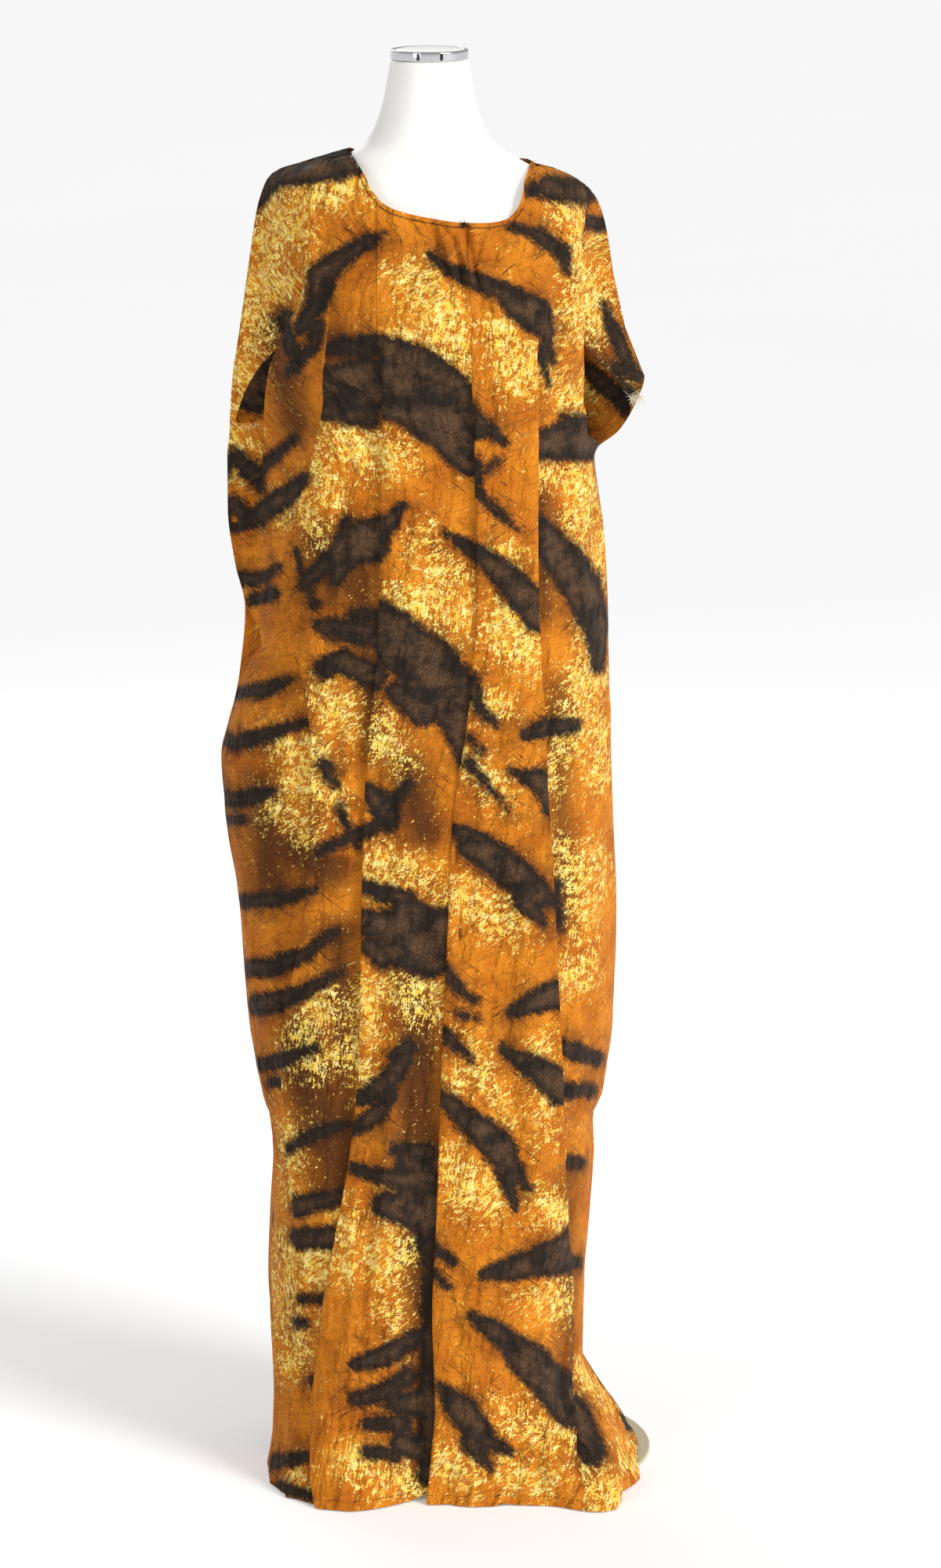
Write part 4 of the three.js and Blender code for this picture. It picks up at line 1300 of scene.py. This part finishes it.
def form_object(material):
    """The form's body, closed at both ends, with a faint moulding seam at its front and back."""
    form = curves(FORM)
    heights = np.concatenate([np.linspace(*ladder) for ladder in FORM_LADDERS])
    steps = FORM_STEPS
    rows = []
    for z in heights:
        power = 2 / form["square"](z)
        half, front, back = form["half"](z), form["front"](z), form["back"](z)
        row = []
        for i in range(steps):
            a = 2 * math.pi * i / steps
            across, along = math.cos(a), math.sin(a)
            depth = (-front if along < 0 else back) - SEAM_DIP * bell(across / SEAM_WIDTH)
            row.append((
                math.copysign(abs(across) ** power * half, across) * MM,
                math.copysign(abs(along) ** power * depth, along) * MM,
                z * MM,
            ))
        rows.append(row)
    ends = [[(0.0, 0.0, level * MM)] * steps for level in (FORM_LOW, FORM_TOP)]
    rows = [ends[0]] + rows + [ends[1]]
    return ring_mesh("form_body_smooth", rows, material)


class Value:
    """A node's output that can be added, subtracted and multiplied."""

    def __init__(self, nodes, socket):
        self.nodes, self.socket = nodes, socket

    def __add__(self, other):
        return self.nodes.math("ADD", self, other)

    def __sub__(self, other):
        return self.nodes.math("SUBTRACT", self, other)

    def __rsub__(self, other):
        return self.nodes.math("SUBTRACT", other, self)

    def __mul__(self, other):
        return self.nodes.math("MULTIPLY", self, other)


class Nodes:
    """A short hand for building one material's node tree."""

    def __init__(self, name):
        self.material = bpy.data.materials.new(name)
        self.material.use_nodes = True
        self.tree = self.material.node_tree
        self.shader = self.tree.nodes["Principled BSDF"]

    def add(self, kind, **settings):
        node = self.tree.nodes.new(kind)
        for key, value in settings.items():
            setattr(node, key, value)
        return node

    def set(self, node, **inputs):
        """Fills a node's inputs, named with low lines for spaces, and gives its first output."""
        for key, source in inputs.items():
            self.value(node.inputs[key.replace("_", " ")], source)
        return Value(self, node.outputs[0])

    def value(self, socket, source):
        if isinstance(source, Value):
            self.tree.links.new(source.socket, socket)
        else:
            socket.default_value = source

    def attribute(self, name):
        return Value(self, self.add("ShaderNodeAttribute", attribute_name=name).outputs["Fac"])

    def place(self):
        return Value(self, self.add("ShaderNodeTexCoord").outputs["Object"])

    def math(self, operation, a, b=0.0):
        node = self.add("ShaderNodeMath", operation=operation)
        self.value(node.inputs[0], a)
        self.value(node.inputs[1], b)
        return Value(self, node.outputs[0])

    def step(self, value, low, high, start=0.0, end=1.0):
        node = self.add("ShaderNodeMapRange", interpolation_type="SMOOTHSTEP")
        return self.set(node, Value=value, From_Min=low, From_Max=high, To_Min=start, To_Max=end)

    def mix(self, share, a, b):
        node = self.add("ShaderNodeMix", data_type="RGBA")
        for key, source in ((0, share), (6, a), (7, b)):
            self.value(node.inputs[key], source)
        return Value(self, node.outputs[2])

    def noise(self, vector, scale, detail=2.0, rough=0.5):
        node = self.add("ShaderNodeTexNoise")
        return self.set(node, Vector=vector, Scale=scale, Detail=detail, Roughness=rough)

    def stretched(self, vector, size, turn=0.0):
        """Coordinates turned by some degrees, then scaled: cells along and across that direction."""
        node = self.add("ShaderNodeMapping", vector_type="TEXTURE")
        turn = (0.0, 0.0, math.radians(turn))
        return self.set(node, Vector=vector, Scale=[1 / v for v in size], Rotation=turn)

    def swept(self, vector, along, across, turn, detail=5, rough=0.7):
        """Noise drawn out in one direction."""
        return self.noise(self.stretched(vector, (along, across, 1), turn), 1, detail, rough)

    def bump(self, height, strength, distance, normal=None):
        node = self.add("ShaderNodeBump")
        if normal is not None:
            self.value(node.inputs["Normal"], normal)
        return self.set(node, Height=height, Strength=strength, Distance=distance)

    def finish(self, color, rough, normal=None, **extra):
        if normal is not None:
            self.value(self.shader.inputs["Normal"], normal)
        self.set(self.shader, Base_Color=color, Roughness=rough, **extra)
        return self.material


def rgb(red, green, blue):
    """A colour from its usual 0-255 screen values."""
    def linear(v):
        v /= 255
        return v / 12.92 if v <= 0.04045 else ((v + 0.055) / 1.055) ** 2.4

    return (linear(red), linear(green), linear(blue), 1.0)


ORANGE = rgb(206, 125, 27)
AMBER = rgb(174, 95, 16)
RUST = rgb(88, 48, 20)
YELLOW = rgb(234, 194, 78)
PALE = rgb(246, 222, 132)
INK_DARK = rgb(36, 28, 22)
INK_BROWN = rgb(102, 74, 50)
PRINT_BROWN_AND_SHADE = rgb(66, 34, 12)


def cloth_material():
    """Printed cotton: the print fields, in chart units, feathered by noise in the cloth's own map; the
    brown field is partly painted shade.
    """
    n = Nodes("printed_cotton")
    cloth = Value(n, n.add("ShaderNodeUVMap", uv_map="cloth").outputs[0])
    ink, gold, print_brown_and_shade, neck, foot = (n.attribute(name) for name in (*FIELDS, "neck", "foot"))
    broad = n.noise(cloth, 42, 3, 0.55) - 0.5
    ragged = n.noise(cloth, 190, 4, 0.7) - 0.5
    grain = n.noise(cloth, 480, 3, 0.7)
    thread = n.noise(n.stretched(cloth, (1150, 330, 1)), 1, 3, 0.6)

    # Ink: dark strokes with a ragged, dusty edge
    ink_edge = ink - 2 + broad * 14 + ragged * 13 + (n.swept(cloth, 60, 300, -40) - 0.5) * 17
    soft = n.step(ink_edge, 13, -9)
    dark = n.step(soft + (grain - 0.5) * 1.1, 0.12, 0.86) * n.step(soft, 0.02, 0.3)

    # Gold: broken flecks, dense in the charted places and sprinkled elsewhere
    gold_share = n.step(gold + broad * 60, 46, -16)
    turn = n.step(n.noise(cloth, 7, 1), 0.44, 0.56)
    brush = n.swept(cloth, 105, 360, 38) * (1 - turn) + n.swept(cloth, 95, 340, 82) * turn
    lace = grain * 0.34 + brush * 0.36 + n.noise(cloth, 125, 4, 0.6) * 0.3
    sprinkled = n.step(n.noise(cloth, 23, 3), 0.42, 0.64) * 0.022
    light = n.step(lace - (0.588 - sprinkled - gold_share * 0.094), 0.0, 0.018)

    # Ground: orange cotton with patches of browner tone, browner print and painted shade down a fold
    # trough, a wash round the ink, scratches and specks
    ground = n.mix(n.step(n.noise(cloth, 17, 4, 0.6), 0.36, 0.66), ORANGE, AMBER)
    ground = n.mix(n.step(thread, 0.42, 0.7) * 0.45, ground, AMBER)
    # Brown print, and painted shade down the trough left of the centre fold
    ground = n.mix(n.step(print_brown_and_shade, 28, -20) * 0.9, ground, PRINT_BROWN_AND_SHADE)
    wash = n.step(ink_edge, 34, 6) * n.step(n.noise(cloth, 26, 4, 0.6), 0.42, 0.62)
    ground = n.mix(wash * 0.5, ground, PRINT_BROWN_AND_SHADE)
    some = n.step(n.noise(cloth, 15, 2), 0.46, 0.62)
    rising = n.step(n.swept(cloth, 22, 480, 34, 2, 0.4), 0.635, 0.67) * some
    falling = n.step(n.swept(cloth, 24, 500, -38, 2, 0.4), 0.645, 0.68) * (1 - some)
    scratches = n.math("MAXIMUM", rising, falling) * (n.step(ink, 50, 4) + 0.5)
    ground = n.mix(scratches * 0.75, ground, RUST)
    ground = n.mix(n.step(n.noise(cloth, 620, 2, 0.6), 0.645, 0.70) * 0.6, ground, RUST)

    yellow = n.mix(n.step(n.noise(cloth, 90, 3, 0.6), 0.42, 0.6), YELLOW, PALE)
    worn = n.step(n.noise(cloth, 30, 4, 0.65), 0.38, 0.62) * n.step(ink, 0, -13) * n.step(thread, 0.3, 0.62)
    color = n.mix(light, ground, yellow)
    color = n.mix(dark, color, n.mix(worn * 0.9, INK_DARK, INK_BROWN))
    seam_line = n.step(neck, 7.2, 6.0) * n.step(neck, 4.2, 5.4)
    color = n.mix(seam_line * 0.55, color, RUST)

    normal = n.bump(n.swept(cloth, 24, 62, 80, 3, 0.5), 0.9, 0.016)
    normal = n.bump(n.swept(cloth, 22, 130, 14, 3, 0.5), 0.8, 0.009, normal)
    normal = n.bump(thread, 0.4, 0.0005, normal)
    normal = n.bump(n.step(neck, 6.6, 4.6) + n.step(foot, 11.5, 9.0), 0.9, 0.0012, normal)
    return n.finish(color, 0.85, normal, Sheen_Weight=0.03, Specular_IOR_Level=0.12)


def form_material():
    """White satin, with the line of the moulding seam a shade darker."""
    n = Nodes("white_satin_form")
    at = n.place()
    shade = n.mix(n.noise(at, 9, 3), rgb(243, 242, 238), rgb(236, 234, 229))
    across = n.set(n.add("ShaderNodeSeparateXYZ"), Vector=at)
    from_seam = n.math("ABSOLUTE", across - 0.003)
    shade = n.mix(n.step(from_seam, 0.0010, 0.0005) * 0.35, shade, rgb(196, 192, 184))
    normal = n.bump(n.noise(at, 900, 2), 0.12, 0.0002)
    rough = n.step(n.noise(at, 30, 2), 0.3, 0.7, 0.36, 0.46)
    return n.finish(shade, rough, normal)


def chrome_material():
    n = Nodes("polished_chrome")
    at = n.place()
    rough = n.step(n.noise(at, 60, 3), 0.3, 0.7, 0.06, 0.13)
    color = n.mix(n.noise(at, 25, 2), rgb(214, 214, 216), rgb(196, 196, 199))
    return n.finish(color, rough, n.bump(n.noise(at, 1200, 2), 0.05, 0.0001), Metallic=1.0)


def cap_material():
    n = Nodes("white_cap")
    at = n.place()
    color = n.mix(n.noise(at, 40, 3), rgb(244, 243, 240), rgb(236, 235, 231))
    return n.finish(color, 0.3, n.bump(n.noise(at, 700, 2), 0.08, 0.0001))


def plate_material():
    n = Nodes("satin_steel_plate")
    at = n.place()
    brushed = n.noise(n.stretched(at, (14, 900, 14)), 1, 3)
    color = n.mix(brushed, rgb(206, 196, 164), rgb(184, 174, 142))
    rough = n.step(brushed, 0.3, 0.7, 0.32, 0.48)
    return n.finish(color, rough, n.bump(brushed, 0.12, 0.0002), Metallic=0.45)


def floor_material():
    n = Nodes("studio_floor")
    at = n.place()
    color = n.mix(n.noise(at, 0.6, 2), rgb(250, 250, 250), rgb(247, 247, 247))
    return n.finish(color, 0.75)


def seen_at(tree, px, py):
    """The point of the cloth that the front view shows at a place of the chart."""
    origin, direction = chart_ray(px, py)
    return tree.ray_cast(origin, direction)[0]


def tube_mesh(name, lines, material):
    """One mesh of thin four-sided threads; a line is its points, in metres, and its radius."""
    verts, faces = [], []
    for points, radius in lines:
        first = len(verts)
        for i, p in enumerate(points):
            along = (points[min(i + 1, len(points) - 1)] - points[max(i - 1, 0)]).normalized()
            side = along.cross(ODD_DIRECTION).normalized()
            up = along.cross(side)
            thin = radius * (THREAD_TIP if i in (0, len(points) - 1) else 1)
            for a, b in ((1, 0), (0, 1), (-1, 0), (0, -1)):
                verts.append(p + side * (a * thin) + up * (b * thin))
        for i in range(len(points) - 1):
            for k in range(4):
                a, b = first + 4 * i + k, first + 4 * i + (k + 1) % 4
                faces.append((a, b, b + 4, a + 4))
        last = first + 4 * (len(points) - 1)
        faces += [(first + 3, first + 2, first + 1, first), (last, last + 1, last + 2, last + 3)]
    obj = mesh_object(name, [tuple(v) for v in verts], faces, material)
    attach(obj, "root")
    return obj


def stitches(tree, path, inset_to, inset, dash, gap, radius):
    """Dashes along a path on the cloth, set in from an edge towards a second path."""
    line = []
    for i, (p, q) in enumerate(zip(path, inset_to)):
        along = (path[min(i + 1, len(path) - 1)] - path[max(i - 1, 0)]).normalized()
        inward = ((q - p) - along * (q - p).dot(along)).normalized()
        place_at, normal = tree.find_nearest(p + inward * inset)[:2]
        outward = normal if normal.y < 0 else -normal
        line.append(place_at + outward * radius * 0.7)
    lengths = running([(b - a).length for a, b in zip(line[:-1], line[1:])])
    coords = np.array([tuple(p) for p in line])
    at = lambda d: Vector([float(np.interp(d, lengths, coords[:, k])) for k in range(3)])
    made, start = [], 0.0
    while start + dash < lengths[-1]:
        made.append(([at(start + dash * t) for t in (0, 0.33, 0.67, 1)], radius))
        start += dash + gap
    return made


def strands(tree, rng, path, count, reach, radius, sideways):
    """Loose threads that stand out from a path on the cloth."""
    made = []
    for _ in range(count):
        t = rng.uniform(0, len(path) - 1.001)
        i = int(t)
        px, py = (lerp(path[i][k], path[i + 1][k], t - i) for k in (0, 1))
        root = seen_at(tree, px + rng.normal(0, 1.2), py + rng.normal(0, 1.2))
        if root is None:
            continue
        aside = rng.normal(sideways[0], 0.7)
        heading = Vector((aside, -abs(rng.normal(0.5, 0.4)), rng.normal(sideways[1], 0.7))).normalized()
        bend = Vector(rng.normal(0, 0.5, 3))
        size = reach * rng.uniform(0.35, 1)
        points = [root + heading * (size * t) + bend * (size * t * t * 0.6) for t in (0, 0.3, 0.6, 1)]
        made.append((points, radius * rng.uniform(0.7, 1.2)))
    return made


def thread_material(name, tint):
    n = Nodes(name)
    at = n.place()
    twist = n.noise(at, 2400, 2)
    darker = tuple(v * 0.7 for v in tint[:3]) + (1.0,)
    return n.finish(n.mix(twist, tint, darker), 0.8, n.bump(twist, 0.4, 0.0001))


# Rows of stitches: inset from the edge, dash, gap and radius, in metres
NECK_STITCHES = (0.0056, 0.0030, 0.0013, 0.00035)
HEM_STITCHES = (0.0105, 0.0028, 0.0016, 0.0003)

# Loose black threads and pale frays: places in the chart, count, reach, radius and direction
BLACK_STRANDS = (
    ([(588, 287), (596, 288)], 34, 0.007, 0.00045, (0.2, 0.2)),
    ([(550, 284), (554, 284)], 9, 0.004, 0.0004, (0, 0)),
    ([(293, 724), (300, 748), (312, 778), (325, 803)], 60, 0.004, 0.00035, (0.3, 0.1)),
    ([(676, 208), (682, 214)], 8, 0.009, 0.0003, (0.3, 0.6)),
)
PALE_STRANDS = (
    ([(755, 462), (766, 486), (784, 498), (804, 506)], 120, 0.010, 0.00025, (0.5, -0.5)),
    ([(798, 505), (806, 506), (814, 503)], 110, 0.015, 0.00024, (0.6, -0.8)),
    ([(302, 536), (318, 539), (330, 540)], 60, 0.008, 0.00022, (-0.2, -0.6)),
    ([(340, 454), (330, 480), (316, 512)], 36, 0.006, 0.0002, (0.3, -0.4)),
    ([(448, 197), (458, 214)], 7, 0.010, 0.00022, (0.8, 0.5)),
)

# Turned pieces: object, solid, slot, radius of the rounding, x of the axis, and radii and heights
TURNED = (
    ("plate_smooth", "base_plate", "plate_metal", 1.0, PLATE_X,
     "0 0, 198.8 0, 200 1.2, 200 4.8, 198.8 6, 0 6"),
    ("socket_smooth", "pole_socket", "plate_metal", 1.5, 0,
     "0 6.3, 42 6.3, 42 10.3, 20 18, 20 32, 12.8 32, 12.8 10, 0 10"),
    ("pole_smooth", "pole", "chrome", 1.0, 0, "0 10.3, 12.5 10.3, 12.5 775.4, 0 775.4"),
    ("flange_smooth", "form_flange", "plate_metal", 1.0, 0,
     "0 775.7, 46.8 775.7, 48 776.9, 48 784.7, 0 784.7"),
    ("band_smooth", "neck_band", "chrome", 1.2, 0,
     "39.3 1648.5, 43.1 1648.5, 44.3 1649.7, 44.3 1658.8, 43.1 1660, 39.3 1660, 39.3 1648.5"),
    ("cap_smooth", "neck_cap", "cap_white", 1.0, 0,
     "0 1648.5, 39 1648.5, 39 1659, 34 1660.2, 23 1661.3, 10 1661.9, 0 1662"),
)


def place(obj, node, slot):
    """An object in the place of a solid."""
    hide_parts(node)
    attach(obj, "root")
    return obj


front_panel, back_panel = Panel(True), Panel(False)
front_grid, back_grid = cloth_grid(front_panel), cloth_grid(back_panel)
cloth = cloth_material()
front = cloth_object("front_cloth", front_panel, front_grid, cloth)
back = cloth_object("back_cloth", back_panel, back_grid, cloth)
place(front, "front_panel", "printed_cloth")
place(back, "back_panel", "printed_cloth")

# Stitches along the neck and the hem, and the threads
front_tree = BVHTree.FromObject(front, bpy.context.evaluated_depsgraph_get())
points = front_grid["xyz"] * MM
neck_from, neck_to = (front_panel.neck[i]["x"] for i in (0, -1))
neck = [Vector(p) for p in points[-1] if neck_from < p[0] / MM < neck_to and p[2] > 1.45]
below_neck = [Vector((p.x, p.y, p.z - 0.02)) for p in neck]
hem, above_hem = ([Vector(p) for p in points[row, 3:front_grid["arm_tip"]]] for row in (0, 4))
stitch_lines = stitches(front_tree, neck, below_neck, *NECK_STITCHES)
stitch_lines += stitches(front_tree, hem, above_hem, *HEM_STITCHES)
rng = np.random.default_rng(5)
for row in BLACK_STRANDS:
    stitch_lines += strands(front_tree, rng, *row)
fray_lines = [line for row in PALE_STRANDS for line in strands(front_tree, rng, *row)]
stitch = tube_mesh("stitches", stitch_lines, thread_material("black_thread", rgb(30, 26, 24)))
fray = tube_mesh("frays", fray_lines, thread_material("pale_thread", rgb(238, 224, 196)))

# The form and its stand
place(form_object(form_material()), "form_body", "form_skin")
looks = {"chrome": chrome_material(), "plate_metal": plate_material(), "cap_white": cap_material()}
for name, node, slot, radius, x, profile in TURNED:
    profile = [tuple(float(v) for v in corner.split()) for corner in profile.split(",")]
    place(turned(name, rounded(profile, radius), x, looks[slot]), node, slot)


def plane(name, size, at, material):
    """A square with a material."""
    bpy.ops.mesh.primitive_plane_add(size=size, location=at)
    obj = bpy.context.object
    obj.name = name
    obj.data.materials.append(material)
    return obj


def lamp(name, kind, energy, away, at=(0, 0, 0), **settings):
    """A lamp that shines against the direction away."""
    data = bpy.data.lights.new(name, kind)
    for key, value in dict(settings, energy=energy).items():
        setattr(data, key, value)
    obj = linked(name, data)
    obj.location = at
    obj.rotation_euler = Vector(away).to_track_quat("Z", "Y").to_euler()


# The studio: floor, world, lamps, and two dark cards that only the chrome reflects
plane("studio_floor", 80, (0, 0, 0), floor_material())
world = bpy.data.worlds.new("studio")
bpy.context.scene.world = world
world.use_nodes = True
background = world.node_tree.nodes["Background"]
background.inputs["Color"].default_value = (1.0, 1.0, 1.0, 1.0)
background.inputs["Strength"].default_value = 0.47
bpy.context.scene.view_settings.view_transform = "Standard"


panel_lamp = {"shape": "RECTANGLE", "size_y": 2.0}
lamp("front", "AREA", 30, (-2.4, -3.2, 1.3), (-2.4, -3.2, 2.2), size=1.4, **panel_lamp)
lamp("rim", "AREA", 30, (-1.2, 3.2, 2.0), (-1.2, 3.2, 3.0), size=2.0, **panel_lamp)
lamp("sun", "SUN", 1.8, (0.95, -0.80, 0.95), angle=math.radians(20))
lamp("side_light", "SUN", 1.6, (1.6, -0.8, 0.8), angle=math.radians(6), use_shadow=False)
for name, x in (("card_left", -1.7), ("card_right", 1.9)):
    card = plane(name, 1, (x, -2.6, 1.7), Nodes("black_card").finish(rgb(12, 12, 12), 0.9))
    card.scale = (0.5, 1.4, 1)
    card.rotation_euler = (math.pi / 2, 0, math.atan2(x, 2.6))
    card.visible_camera = card.visible_shadow = False

camera_data = bpy.data.cameras.new("camera")
camera_data.sensor_width = 36
camera_data.lens = 133.4
camera = linked("camera", camera_data)
camera.location = CAMERA_AT
camera.rotation_euler = (math.pi / 2 - CAMERA_PITCH, 0, 0)
bpy.context.scene.camera = camera
